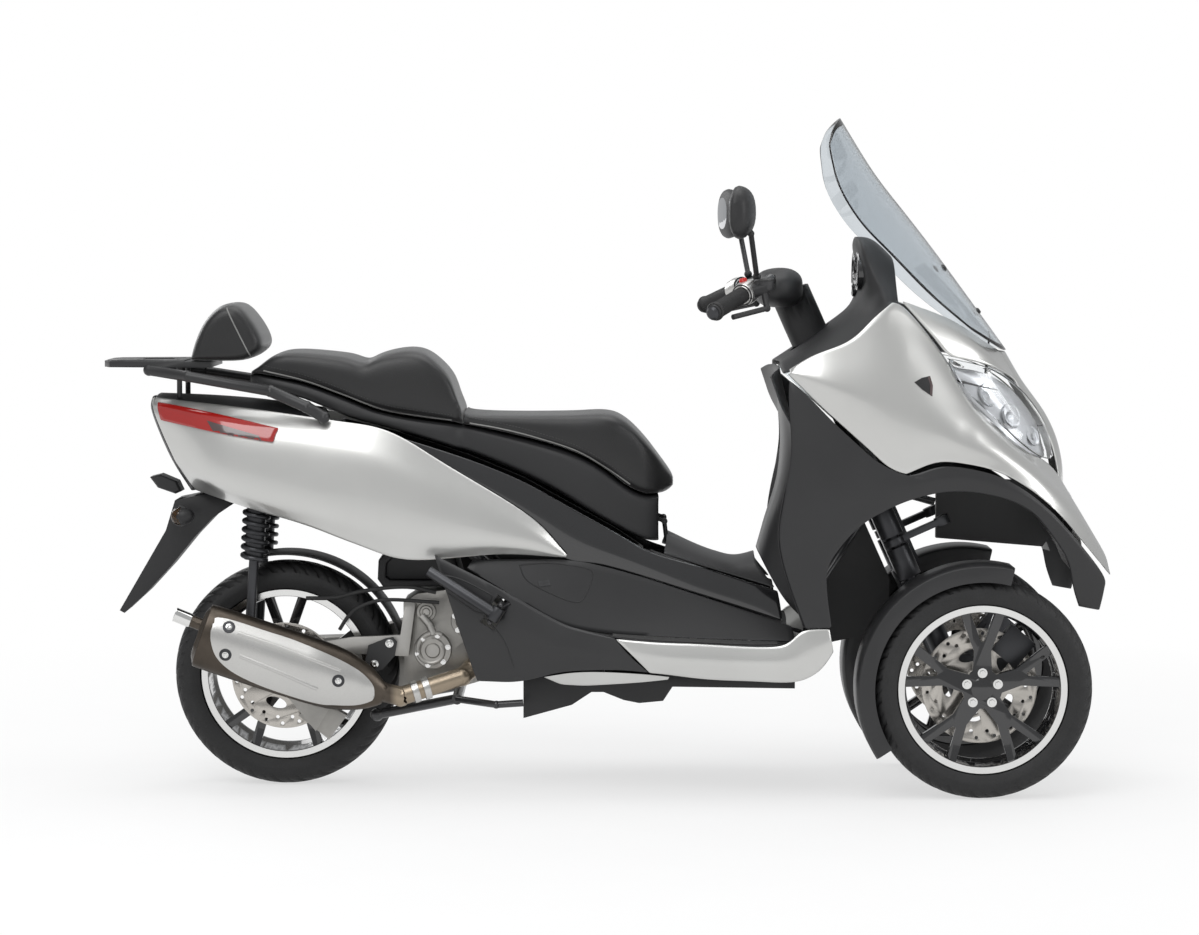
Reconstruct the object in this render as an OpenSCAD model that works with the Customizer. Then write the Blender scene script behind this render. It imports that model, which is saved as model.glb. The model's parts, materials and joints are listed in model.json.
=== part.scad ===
// Three-wheel motor scooter, millimetres.
// X forward, Y left, Z up, the ground at Z = 0 under the middle of the machine.

/* [Wheels] */
// distance between the front and rear axles
wheelbase = 1560; // [1550:1:1566]
// sideways distance of a front wheel from the middle
half_track = 232; // [230:1:236]
// outer radius of the front tyres
front_tyre_r = 245; // [240:1:248]
// width of the front tyres
front_tyre_w = 110; // [104:1:114]
// height of a front tyre's side above the rim's lip
front_side = 57; // [55:1:63]
// outer radius of the rear tyre
rear_tyre_r = 254; // [248:1:257]
// width of the rear tyre
rear_tyre_w = 140; // [130:1:142]
// height of the rear tyre's side above the rim's lip
rear_side = 61; // [57:1:66]
// radius of the front brake discs
front_disc_r = 129; // [122:1:131]
// radius of the rear brake disc
rear_disc_r = 120; // [112:1:122]
// thickness of a brake disc
disc_t = 4; // [3:0.5:4.5]

/* [Steering] */
// lean of the steering axes from upright
rake = 24; // [23:0.5:25]
// sideways distance from a front wheel's middle in to its kingpin
king_in = 97; // [95:1:100]
// radius of a kingpin
kingpin_r = 14; // [12:0.5:15]
// radius of a front stub axle
stub_r = 12.5; // [11:0.5:13.5]
// distance of a handlebar end from the middle
bar_half = 366; // [350:1:380]
// radius of the handlebar tube
bar_r = 11; // [10:0.5:12.5]

/* [Body] */
// thickness of the body panels
wall = 3.5; // [3:0.1:4]
// thickness of the windscreen
screen_t = 4; // [3:0.5:5]
// radius of the main frame tubes
frame_r = 14; // [12:0.5:15]
// half width of the underseat compartment
tub_half = 126; // [115:1:128]
// thickness of the underseat compartment's wall
tub_wall = 4; // [3:0.5:6]
// thickness of the luggage rack plate
rack_t = 14; // [12:1:16]
// radius of the rack's fixing holes
rack_hole_r = 4.25; // [3.5:0.05:5]
// half spacing of the rack's fixing holes along the machine
rack_dx = 45; // [40:1:50]
// half spacing of the rack's fixing holes across the machine
rack_dy = 60; // [55:1:64]

/* [Clearances] */
// radial running clearance of a pin in its bore
run_gap = 0.05; // [0.03:0.01:0.1]
// gap between a mounting stud and the panel it holds
seat_gap = 0.5; // [0.4:0.05:0.7]

/* [Hidden] */
$fn = 48;
front_x = 839;
rear_x = front_x - wheelbase;
front_z = front_tyre_r;
rear_z = rear_tyre_r;
front_rim_r = front_tyre_r - front_side;
rear_rim_r = rear_tyre_r - rear_side;
kingpin_y = half_track - king_in;
hub_in = half_track - 32;
hub_out = half_track + 30;
king_x = 795;
king_z = 245;
steer_x = 423;
steer_z = 1120;
hinge_x = 138;
hinge_z = 602;
stand_x = -330;
stand_z = 205;
// the rear axle's place in the drawing of the engine unit, and how far the unit sits from there
unit_axle = [-721, 0, 254];
unit_at = [rear_x, 0, rear_z] - unit_axle;
hang = [-190, 0, 300] + unit_at;
peg = [-240, 258, 412];
peg_axis = [sin(32.4), 0, cos(32.4)];
side = [0, -1, 0];
down = [0, 0, -1];
ahead = [1, 0, 0];
flank = [-0.45, -0.85, -0.27];

// Point on a smooth curve through a list of points, t from 0 to 1
function knot(p, i) =
    i < 0 ? 2 * p[0] - p[1] :
    i > len(p) - 1 ? 2 * p[len(p) - 1] - p[len(p) - 2] : p[i];
function span(a, b, c, d, t) =
    0.5 * (2 * b + (c - a) * t + (2 * a - 5 * b + 4 * c - d) * t * t + (3 * b - a - 3 * c + d) * t * t * t);
function along(p, t) =
    let (n = len(p) - 1, i = min(n - 1, floor(t * n)), f = t * n - i)
    span(knot(p, i - 1), knot(p, i), knot(p, i + 1), knot(p, i + 2), f);

// Surface through a few rails: grid of points, u along the rails and v across them
function vert(k, i, j) = along([for (r = k[0]) along(r, i / k[1])], j / k[2]);
function grid(k) = [for (i = [0 : k[1]]) [for (j = [0 : k[2]]) vert(k, i, j)]];
function flip(rail) = [for (p = rail) [p.x, -p.y, p.z]];
function full(rails) = concat([for (i = [len(rails) - 1 : -1 : 1]) flip(rails[i])], rails);
function unit(v) = v / norm(v);
function moved(g, d) = [for (r = g) [for (p = r) p + d]];
function middle(l) = [for (a = [0 : 2]) [for (p = l) 1] * [for (p = l) p[a]] / len(l)];

// Point on the silencer: share of its length, angle, share of its section, distance outside
function can_at(t, q, f, d) =
    [-905, -188, 360] + t * [415, 8, -138]
    + [(24 * f + 0.3 * d) * sin(q), (46 * f + d) * cos(q), (70 * f + d) * sin(q)];
// Share of the silencer's full section along its length
can_form = [[0, 0.72], [0.03, 0.95], [0.1, 1], [0.62, 1], [0.8, 0.86], [0.92, 0.62], [1, 0.3]];

// Rounded section across the machine: [x, half width, bottom, top], e = 1 round, smaller is squarer
function ring(s, e, m) =
    [for (k = [0 : m - 1])
        let (c = cos(360 * k / m), q = sin(360 * k / m))
        [s[0], s[1] * sign(c) * pow(abs(c), e),
            (s[2] + s[3]) / 2 + (s[3] - s[2]) / 2 * sign(q) * pow(abs(q), e)]];

// Panels: rails from rear to front or from bottom to top, steps along, steps across, inward direction
tail = [[
    [[-1011, 92, 884], [-809, 150, 864], [-613, 180, 838], [-480, 187, 813], [-347, 188, 736],
        [-164, 181, 622], [-82, 176, 536]],
    [[-1006, 122, 850], [-830, 188, 815], [-640, 208, 780], [-500, 215, 745], [-360, 212, 683],
        [-180, 198, 595], [-83, 177, 534]],
    [[-962, 118, 745], [-850, 192, 700], [-673, 216, 662], [-520, 222, 620], [-363, 219, 588],
        [-205, 203, 562], [-84, 177, 532]],
    [[-918, 92, 676], [-796, 165, 641], [-661, 192, 603], [-548, 199, 561], [-430, 200, 527],
        [-233, 188, 538], [-85, 176, 530]]], 16, 8, side];
surround = [[
    [[-470, 172, 785], [-308, 165, 680], [-164, 163, 580], [-84, 162, 527], [-11, 160, 514],
        [76, 156, 490], [203, 152, 449], [325, 152, 410], [400, 156, 385]],
    [[-470, 173, 795], [-308, 169, 715], [-164, 165, 640], [-70, 163, 588], [10, 160, 552],
        [95, 155, 520], [203, 150, 482], [320, 150, 442], [396, 152, 420]],
    [[-470, 171, 803], [-308, 163, 750], [-185, 157, 700], [-83, 151, 644], [25, 146, 584],
        [103, 142, 541], [203, 139, 510], [315, 139, 474], [390, 140, 451]]], 16, 3, side];
tunnel_side = [[
    [[-304, 172, 505], [-200, 185, 444], [-103, 195, 386], [0, 196, 364], [110, 193, 356], [203, 190, 351],
        [330, 186, 346], [425, 182, 343]],
    [[-298, 169, 515], [-190, 176, 478], [-95, 180, 445], [0, 178, 425], [110, 174, 410], [203, 171, 398],
        [330, 170, 376], [425, 170, 358]],
    [[-290, 164, 524], [-180, 164, 524], [-84, 163, 522], [-11, 161, 510], [90, 157, 482], [203, 153, 445],
        [325, 153, 406], [420, 158, 374]]], 12, 3, side];
belly = [[
    [[-375, 206, 536], [-240, 233, 470], [-104, 253, 396], [-40, 263, 374], [24, 273, 359]],
    [[-330, 216, 398], [-210, 241, 370], [-100, 259, 335], [-5, 269, 322], [58, 275, 320]],
    [[-282, 206, 258], [-190, 223, 258], [-90, 243, 281], [20, 263, 288], [98, 273, 284]]], 10, 4, side];
sill = [[
    [[28, 274, 357], [120, 280, 350], [211, 283, 347], [330, 285, 341], [400, 286, 346], [440, 286, 376],
        [498, 282, 380]],
    [[68, 279, 318], [140, 286, 312], [222, 289, 308], [330, 291, 304], [415, 292, 308], [465, 290, 335],
        [503, 284, 355]],
    [[102, 273, 283], [150, 275, 278], [230, 277, 269], [330, 279, 265], [425, 281, 264], [478, 283, 290],
        [507, 282, 330]]], 12, 4, side];
lip = [[
    [[-132, 232, 268], [-70, 245, 279], [0, 257, 282], [90, 264, 278], [145, 262, 272]],
    [[-95, 228, 252], [-50, 236, 250], [0, 246, 253], [80, 254, 259], [142, 259, 266]]], 8, 2, side];
arch = [[
    [[503, 281, 386], [492, 286, 470], [496, 288, 522], [527, 290, 571], [571, 291, 615], [626, 292, 647],
        [680, 292, 669], [735, 292, 683], [790, 291, 687], [845, 288, 680], [900, 283, 665], [953, 276, 634],
        [996, 268, 582], [1029, 258, 529], [1042, 246, 470], [1056, 236, 428]],
    [[472, 284, 386], [438, 287, 505], [450, 290, 600], [472, 292, 690], [520, 293, 715], [585, 295, 705],
        [658, 296, 698], [732, 296, 713], [788, 295, 715], [846, 292, 706], [908, 286, 683], [968, 278, 648],
        [1020, 270, 594], [1062, 259, 535], [1080, 248, 478], [1076, 238, 424]],
    [[446, 281, 385], [390, 277, 560], [404, 277, 690], [416, 274, 800], [410, 270, 925], [480, 281, 862],
        [562, 288, 786], [652, 292, 716], [735, 293, 741], [844, 289, 727], [924, 281, 690], [998, 271, 630],
        [1066, 257, 552], [1108, 243, 495], [1110, 240, 465], [1100, 238, 420]]], 26, 4, flank];
fairing = [[
    [[411, 270, 940], [482, 281, 872], [567, 289, 796], [653, 293, 727], [735, 294, 752], [844, 290, 738],
        [926, 281, 700], [1001, 270, 640], [1070, 257, 562], [1124, 233, 498]],
    [[412, 272, 947], [476, 289, 928], [562, 295, 905], [645, 296, 880], [725, 293, 855], [815, 284, 815],
        [895, 270, 768], [985, 245, 700], [1060, 212, 625], [1114, 196, 545]],
    [[413, 264, 956], [464, 270, 985], [545, 262, 1018], [612, 240, 1078], [660, 219, 1092], [758, 210, 976],
        [806, 204, 892], [926, 178, 780], [1006, 122, 730], [1072, 140, 622]]], 20, 7, flank];
hood = [full([
    [[912, 0, 985], [952, 0, 918], [1000, 0, 852], [1030, 0, 790], [1043, 0, 730], [1045, 0, 690]],
    [[906, 45, 986], [948, 45, 914], [996, 42, 848], [1026, 40, 786], [1040, 40, 728], [1042, 42, 688]],
    [[894, 72, 987], [936, 74, 908], [982, 72, 842], [1012, 70, 782], [1026, 70, 726], [1030, 76, 686]]]),
    10, 8, [-0.75, 0, -0.66]];
hood_side = [[
    [[892, 78, 988], [840, 125, 1020], [770, 168, 1062], [664, 212, 1102]],
    [[916, 80, 950], [872, 140, 976], [815, 178, 1012], [716, 214, 1044]],
    [[934, 82, 912], [915, 128, 932], [857, 176, 962], [766, 212, 986]]], 8, 4, [-0.55, -0.3, -0.78]];
head_lamp = [[
    [[764, 207, 976], [857, 185, 955], [922, 145, 916], [970, 110, 864], [998, 90, 815], [1012, 82, 758]],
    [[768, 209, 972], [838, 204, 928], [905, 180, 868], [962, 145, 815], [995, 114, 780], [1013, 86, 753]],
    [[768, 207, 966], [810, 203, 902], [868, 193, 846], [927, 176, 790], [973, 140, 757], [1006, 92, 746]]],
    10, 5, flank];
screen = [full([
    [[914, 0, 990], [835, 0, 1098], [755, 0, 1206], [690, 0, 1290], [612, 0, 1390], [536, 0, 1512]],
    [[896, 80, 996], [816, 88, 1100], [736, 92, 1207], [670, 92, 1291], [597, 88, 1388], [528, 70, 1504]],
    [[855, 140, 1020], [770, 165, 1104], [690, 172, 1206], [620, 172, 1290], [556, 162, 1382], [512, 125,
        1482]],
    [[820, 168, 1042], [726, 218, 1118], [640, 236, 1204], [568, 238, 1280], [520, 222, 1362], [503, 165,
        1448]]]),
    12, 12, [-0.75, 0, -0.66]];
dash = [full([
    [[646, 0, 1206], [606, 0, 1240], [566, 0, 1238], [578, 0, 1170], [566, 0, 1098], [510, 0, 1048],
        [450, 0, 1005], [398, 0, 966]],
    [[648, 95, 1190], [608, 95, 1224], [572, 95, 1226], [582, 95, 1160], [568, 95, 1092], [512, 95, 1046],
        [450, 95, 1003], [396, 95, 964]],
    [[650, 150, 1142], [624, 150, 1156], [600, 150, 1152], [594, 150, 1110], [572, 155, 1072], [520, 165,
        1038],
        [455, 172, 998], [392, 168, 960]],
    [[652, 196, 1096], [643, 202, 1094], [630, 208, 1088], [612, 220, 1066], [582, 232, 1038], [528, 242,
        1000],
        [462, 248, 968], [396, 240, 946]]]), 12, 12, [0.6, 0, -0.8]];
leg_shield = [full([
    [[350, 0, 540], [372, 0, 610], [396, 0, 690], [404, 0, 780], [398, 0, 870], [392, 0, 952]],
    [[356, 90, 520], [376, 90, 605], [400, 90, 690], [408, 92, 780], [400, 92, 870], [392, 92, 952]],
    [[404, 148, 436], [420, 150, 560], [432, 152, 680], [430, 155, 780], [408, 152, 870], [390, 145, 950]],
    [[452, 205, 388], [440, 205, 530], [440, 208, 670], [432, 208, 780], [402, 205, 870], [380, 197, 946]],
    [[440, 274, 386], [386, 270, 560], [400, 270, 690], [420, 268, 800], [392, 262, 868], [368, 242, 936]]]),
    10, 16, ahead];
tunnel = [full([
    [[144, 0, 578], [182, 0, 559], [222, 0, 541], [259, 0, 528], [300, 0, 520], [342, 0, 530]],
    [[142, 85, 562], [182, 87, 545], [222, 88, 530], [259, 90, 518], [300, 92, 508], [346, 92, 510]],
    [[136, 137, 538], [182, 136, 524], [222, 136, 511], [262, 136, 499], [305, 136, 486], [382, 138, 463]]]),
    8, 8, down];
floor_pan = [[
    [[-100, 199, 380], [0, 200, 362], [110, 197, 354], [203, 194, 349], [330, 190, 344], [425, 186, 341]],
    [[-100, 225, 386], [0, 232, 364], [110, 236, 353], [203, 238, 349], [330, 237, 344], [427, 236, 343]],
    [[-100, 247, 390], [0, 262, 366], [110, 274, 353], [203, 277, 348], [330, 279, 343], [400, 280, 347]]],
    10, 3, down];
deck = [full([
    [[-1008, 0, 890], [-900, 0, 886], [-780, 0, 876], [-640, 0, 858]],
    [[-1008, 50, 888], [-900, 70, 882], [-780, 85, 872], [-640, 95, 852]],
    [[-1008, 88, 882], [-900, 120, 873], [-780, 150, 859], [-640, 170, 840]]]), 6, 8, down];
tail_end = [full([
    [[-1022, 0, 884], [-1024, 0, 850], [-985, 0, 750], [-938, 0, 672]],
    [[-1020, 50, 882], [-1021, 55, 849], [-980, 55, 748], [-934, 50, 672]],
    [[-1013, 88, 878], [-1009, 116, 849], [-966, 112, 746], [-922, 88, 676]]]), 6, 8, ahead];

// sub-part to draw

module both() {
    children();
    mirror([0, 1, 0]) children();
}

module right() {
    mirror([0, 1, 0]) children();
}

module rod(a, b, r) {
    v = b - a;
    translate(a) rotate([0, acos(v.z / norm(v)), atan2(v.y, v.x)]) cylinder(r = r, h = norm(v));
}

module cone(a, b, r0, r1) {
    v = b - a;
    translate(a) rotate([0, acos(v.z / norm(v)), atan2(v.y, v.x)]) cylinder(r1 = r0, r2 = r1, h = norm(v));
}

// Welded or moulded knee, a little proud of the tubes that meet in it
module joint(p, r, turn = 0) {
    translate(p) rotate([turn, 0, 0]) sphere(r = r + 1.2);
}

// Round bar across the machine
module bar_y(x, z, y0, y1, r) {
    translate([x, y1, z]) rotate([90, 0, 0]) cylinder(r = r, h = y1 - y0);
}

// Flat shape of the side view with a depth across the machine
module plate_y(y0, y1) {
    translate([0, y1, 0]) rotate([90, 0, 0]) linear_extrude(height = y1 - y0) children();
}

// Closed solid between an outer grid and an inner grid of the same size
module shell(g, h) {
    n = len(g) - 1;
    m = len(g[0]) - 1;
    w = m + 1;
    k = (n + 1) * w;
    a = floor(n / 2);
    b = floor(m / 2);
    out = cross(g[a + 1][b] - g[a][b], g[a][b + 1] - g[a][b]) * (g[a][b] - h[a][b]);
    skin = [for (i = [0 : n - 1], j = [0 : m - 1])
        each [[i * w + j, i * w + j + 1, (i + 1) * w + j + 1], [i * w + j, (i + 1) * w + j + 1,
            (i + 1) * w + j]]];
    rim = concat([for (j = [0 : m]) j], [for (i = [1 : n]) i * w + m],
        [for (j = [m - 1 : -1 : 0]) n * w + j], [for (i = [n - 1 : -1 : 1]) i * w]);
    q = len(rim);
    edge = [for (t = [0 : q - 1]) let (s = rim[t], e = rim[(t + 1) % q]) each [[e, s, s + k], [e, s + k,
        e + k]]];
    back = [for (f = skin) [f[2] + k, f[1] + k, f[0] + k]];
    all = concat(skin, back, edge);
    polyhedron(concat([for (r = g) each r], [for (r = h) each r]),
        out > 0 ? all : [for (f = all) [f[2], f[1], f[0]]]);
}

module panel(k) {
    shell(grid(k), moved(grid(k), wall * unit(k[3])));
}

// Closed solid through a row of closed sections
module loft(l) {
    n = len(l) - 1;
    m = len(l[0]);
    out = cross(l[0][1] - l[0][0], l[1][0] - l[0][0]) * (l[0][0] - middle(l[0]));
    skin = [for (i = [0 : n - 1], j = [0 : m - 1])
        let (a = i * m + j, b = i * m + (j + 1) % m)
        each [[a, a + m, b + m], [a, b + m, b]]];
    ends = [for (j = [0 : m - 1])
        each [[j, (j + 1) % m, (n + 1) * m], [n * m + (j + 1) % m, n * m + j, (n + 1) * m + 1]]];
    all = concat(skin, ends);
    polyhedron(concat([for (s = l) each s], [middle(l[0]), middle(l[n])]),
        out > 0 ? all : [for (f = all) [f[2], f[1], f[0]]]);
}

// Smooth loft through a few rounded sections
module pad(sections, steps, e, m) {
    loft([for (i = [0 : steps]) ring(along(sections, i / steps), e, m)]);
}

// Mounting stud from a frame tube to the inside of a panel
module stud(a, k, i, j) {
    cone(a, vert(k, i, j) + (wall + seat_gap) * unit(k[3]), 6, 1);
}

module in_king_frame() {
    translate([king_x, kingpin_y, king_z]) rotate([0, -rake, 0]) children();
}

module in_steer_frame() {
    translate([steer_x, 0, steer_z]) rotate([0, -rake, 0]) children();
}

// Half section of a tyre: radius across, width up
module tyre_section(r, w, seat, bead) {
    c = (r - seat) * 0.56;
    polygon(concat(
        [for (a = [-90 : 15 : 90]) [r - c + c * pow(abs(cos(a)), 0.75),
            w / 2 * sign(a) * pow(abs(sin(a)), 0.62)]],
        [[seat + 12, w / 2 - 8], [seat + 11, bead], [seat, bead], [seat, -bead], [seat + 11, -bead],
            [seat + 12, 8 - w / 2]]));
}

module tyre(r, w, lip_r, rim_w) {
    rotate([90, 0, 0]) rotate_extrude($fn = 64) tyre_section(r, w, lip_r - 9.7, rim_w / 2 - 9.4);
}

// Five spokes that fork towards the rim
module spokes(r0, r1) {
    for (k = [0 : 4])
        rotate(90 + 72 * k)
            polygon([[r0, -21], [r0, 21], [r1 * 0.5, 19], [r1, 50], [r1, 27], [r1 * 0.62, 4],
                [r1 * 0.62, -4], [r1, -27], [r1, -50], [r1 * 0.5, -19]]);
}

// Rim with its hub and bore; outer face of the hub towards +Y
module rim(lip_r, w, y_in, y_out, hub_r, bore_r, spoke_y, cap) {
    difference() {
        union() {
            rotate([90, 0, 0]) rotate_extrude($fn = 64) polygon([[lip_r - 24, w / 2], [lip_r, w / 2],
                [lip_r, w / 2 - 6], [lip_r - 10, w / 2 - 9], [lip_r - 10, 9 - w / 2], [lip_r, 6 - w / 2],
                [lip_r, -w / 2], [lip_r - 16, -w / 2], [lip_r - 17, w / 2 - 22], [lip_r - 24, w / 2 - 12]]);
            bar_y(0, 0, y_in, y_out, hub_r);
            plate_y(spoke_y, spoke_y + 20) spokes(hub_r - 6, lip_r - 19);
        }
        bar_y(0, 0, y_in - 1, y_out - cap, bore_r);
    }
}

// Drilled brake disc with its carrier
module disc(r, bore_r) {
    rotate([90, 0, 0]) linear_extrude(height = disc_t) difference() {
        circle(r = r);
        circle(r = bore_r);
        for (k = [0 : 4])
            rotate(72 * k + 36) translate([r * 0.54, 0]) scale([0.5, 1]) circle(r = r * 0.2);
        for (k = [0 : 17])
            rotate(20 * k) for (q = [0 : 1])
                rotate(7 * q) translate([r * (0.8 + 0.11 * q), 0]) circle(r = 4, $fn = 16);
    }
}

// Steering head with the stays of the front panels
module frame_head() {
    color("#2a2b2d") {
        in_steer_frame() difference() {
            translate([0, 0, -530.6]) cylinder(r = 27, h = 382.6);
            translate([0, 0, -400]) cylinder(r = kingpin_r + run_gap, h = 300);
        }
        both() {
            rod([582, 20, 742], [480, 200, 800], 9);
            rod([562, 20, 812], [640, 190, 960], 9);
            stud([480, 200, 800], arch, 7, 2);
            stud([480, 200, 800], leg_shield, 7, 14);
            stud([640, 190, 960], fairing, 7, 4);
            stud([640, 190, 960], dash, 3, 11);
            stud([640, 190, 960], hood_side, 7, 2);
            stud([640, 190, 960], head_lamp, 3, 2);
            joint([480, 200, 800], 11);
            joint([640, 190, 960], 11);
        }
        rod([624, 0, 678], [754.7, 0, 641.4], 9);
        rod([625, 0, 692], [860, 0, 800], 9);
        joint([860, 0, 800], 11);
        stud([860, 0, 800], hood, 5, 4);
        cone([860, 0, 800], vert(screen, 1, 6) + (screen_t + seat_gap) * unit(screen[3]), 7, 1.5);
    }
}

// Lower cradle under the foot boards, with the tube that hangs the engine
module frame_cradle() {
    color("#2a2b2d") {
        both() {
            difference() {
                rod([627, 14, 672], [488, 80, 470], frame_r);
                in_steer_frame() translate([0, 0, -560]) cylinder(r = 27.4, h = 300);
            }
            rod([488, 80, 470], [470, 80, 300], frame_r);
            rod([470, 80, 300], [-120, 80, 300], frame_r);
            joint([488, 80, 470], frame_r);
            joint([470, 80, 300], frame_r);
            stud([470, 80, 330], tunnel_side, 10, 1);
            stud([200, 80, 310], tunnel_side, 7, 1);
            stud([300, 80, 300], sill, 8, 1);
            stud([300, 80, 300], floor_pan, 7, 2);
            stud([0, 80, 300], lip, 4, 1);
            stud([220, 80, 300], tunnel, 4, 7);
            cone([300, 80, 300], [300, 80, 240.9], 7, 5);
            cone([-150, 60, 300], [-150, 60, 180.9], 6, 1);
            rod([hang.x, 80, hang.z], [-120, 80, 300], frame_r - 1.5);
        }
        bar_y(hang.x, hang.z, -100, 100, 18);
        bar_y(-150, 300, -80, 80, frame_r - 5);
        bar_y(470, 300, -80, 80, frame_r - 4);
    }
}

// One side of the rear frame: seat rail, shock pin and footpeg fork
module frame_rear() {
    foot = [-120, 80, 300];
    knee = [-170, 144, 420];
    color("#2a2b2d") {
        rod(foot + (frame_r + 3.6) * unit(knee - foot), knee, frame_r - 2);
        rod(knee, [-470, 144, 700], frame_r - 2);
        rod([-470, 144, 700], [-604, 142, 728], frame_r - 2);
        rod([-598, 142.1, 726.7], [-900, 100, 790], frame_r - 3);
        joint(knee, frame_r - 2);
        joint([-470, 144, 700], frame_r - 2);
        stud([-170, 144, 430], belly, 3, 1);
        stud([-300, 144, 541], tail, 13, 5);
        stud([-640, 137, 735], tail, 6, 4);
        stud([-640, 137, 735], deck, 5, 7);
        stud([-880, 103, 786], tail_end, 1, 7);
        stud([-360, 144, 597], surround, 3, 1);
        cone([-884, 40, 786], [-900, 40, 664.9], 7, 1.5);
        bar_y(-880, 786, 0.2, 100, 9);
        rod([-774, 118, 764], [-774, 141, 738], 7);
        rod([-774, 141, 738], [-774, 141, 700], 7);
        joint([-774, 141, 738], 7);
        joint([-774, 141, 700], 7.6);
        bar_y(-774, 700, 98, 141, 7.5);
        rod([-186, 144, 435], peg + [0, -34, 0], 8);
        rod(peg + 22 * peg_axis + [0, -34, 0], peg - 22 * peg_axis + [0, -34, 0], 5.5);
        joint(peg + 22 * peg_axis + [0, -34, 0], 5.5);
        joint(peg - 22 * peg_axis + [0, -34, 0], 5.5);
        rod(peg + 22 * peg_axis, peg + 22 * peg_axis + [0, -34, 0], 4.5);
        rod(peg - 22 * peg_axis, peg - 22 * peg_axis + [0, -34, 0], 4.5);
        joint(peg + 22 * peg_axis, 4.6);
        joint(peg - 22 * peg_axis, 4.6);
        rod(peg - 22 * peg_axis, peg + 22 * peg_axis, 4);
    }
}

// Cross arms of the tilting front with the collars of both kingpins
module tilt_linkage() {
    color("#8c8f92") difference() {
        union() {
            both() in_king_frame() {
                translate([0, 0, 262]) cylinder(r = 26, h = 72);
                translate([0, 0, 362]) cylinder(r = 26, h = 70);
                translate([-16, -kingpin_y, 272]) cube([32, kingpin_y - 12, 30]);
                translate([-16, -kingpin_y, 388]) cube([32, kingpin_y - 12, 30]);
            }
            in_king_frame() translate([-22, -kingpin_y - 30, 266]) cube([60, 60, 154]);
        }
        both() in_king_frame() translate([0, 0, 250]) cylinder(r = kingpin_r + run_gap, h = 200);
        both() rod([627, 14, 672], [488, 80, 470], frame_r + 0.8);
    }
}

module front_fairing() {
    color("#c9cac8") both() panel(fairing);
}

module nose_hood() {
    color("#c9cac8") {
        panel(hood);
        both() panel(hood_side);
    }
}

module arch_panels() {
    color("#3a3b3e") both() panel(arch);
}

// Dark vault over each front wheel, with the keel between the wheels
module arch_liner() {
    edge = [for (i = [0 : 23]) along(arch[0][0], i / 26) + (wall + 0.6) * unit(flank)];
    g = [for (p = edge) [for (t = [0, 0.5, 1]) [p.x, p.y + t * (104 - p.y), p.z + 8 * t]]];
    h = [for (r = g) [for (p = r) p + wall * unit([p.x - 800, 0, p.z - 300])]];
    color("#1c1d1f") {
        both() shell(g, h);
        plate_y(-12, 12) polygon([[757.6, 560], [1000, 540], [1052, 606], [960, 690], [800, 700], [757.6,
            660]]);
        plate_y(-12, 12) polygon([[480.6, 300], [505, 318], [560, 330], [650, 336], [652, 468], [592, 602],
            [540, 610], [512, 560], [505, 400]]);
    }
}

module front_grille() {
    k = [full([
        [[1046, 0, 682], [1062, 0, 652], [1058, 0, 606], [1030, 0, 560]],
        [[1044, 60, 680], [1062, 62, 650], [1058, 70, 604], [1030, 80, 558]],
        [[1036, 100, 690], [1054, 110, 648], [1058, 126, 606], [1040, 150, 556]]]), 6, 8, [-1, 0, 0]];
    color("#17181a") panel(k);
}

module headlamps() {
    color("#aeb4ba") both() panel(head_lamp);
}

module windscreen() {
    color("#7d8890") shell(grid(screen), moved(grid(screen), screen_t * unit(screen[3])));
}

module dashboard() {
    color("#232427") difference() {
        panel(dash);
        in_steer_frame() translate([0, 0, -220]) cylinder(r = 54, h = 200);
    }
}

module leg_shield_panel() {
    color("#2c2d30") panel(leg_shield);
}

module tunnel_cover() {
    color("#2c2d30") {
        panel(tunnel);
        both() {
            rod([hinge_x + 6, 40, 556], [hinge_x, 40, hinge_z], 5);
            joint([hinge_x, 40, hinge_z], 5);
            bar_y(hinge_x, hinge_z, 40, 66, 3);
        }
    }
}

module tunnel_sides() {
    color("#3a3c40") both() panel(tunnel_side);
}

module seat_surround() {
    color("#141517") both() panel(surround);
}

module footboards() {
    color("#2a2b2d") both() panel(floor_pan);
}

module sills() {
    color("#c9cac8") both() {
        panel(sill);
        panel(lip);
    }
}

module belly_panels() {
    color("#232427") both() difference() {
        panel(belly);
        translate(peg) rotate([0, 32.4, 0]) cube([34, 90, 72], center = true);
    }
}

module under_tray() {
    color("#1b1c1e") difference() {
        plate_y(-150, 150) polygon([[-180, 165], [-118, 182], [-71, 195], [-27, 224], [0, 224], [45, 206],
            [80, 199], [134, 204], [155, 236], [430, 232], [430, 262], [-180, 262]]);
        plate_y(-144, 144) polygon([[-174, 173], [-118, 189], [-71, 203], [-27, 232], [0, 232], [45, 214],
            [80, 207], [128, 211], [150, 242], [424, 239], [424, 270], [-174, 270]]);
    }
}

module tail_panels() {
    color("#c9cac8") both() panel(tail);
}

module tail_cover() {
    color("#232427") {
        panel(deck);
        panel(tail_end);
    }
}

// Tail lamps stand on the rear end of the tail panels
module tail_lamps() {
    k = tail;
    g = [for (i = [0 : 6]) [for (j = [0 : 3])
        along([for (r = k[0]) along(r, 0.01 + 0.04 * i)], 0.1 + 0.02 * i + j * (0.095 - 0.008 * i))]];
    color("#9c1f1c") both() shell(moved(g, [0, 5.4, 0]), moved(g, [0, 1, 0]));
}

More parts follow.
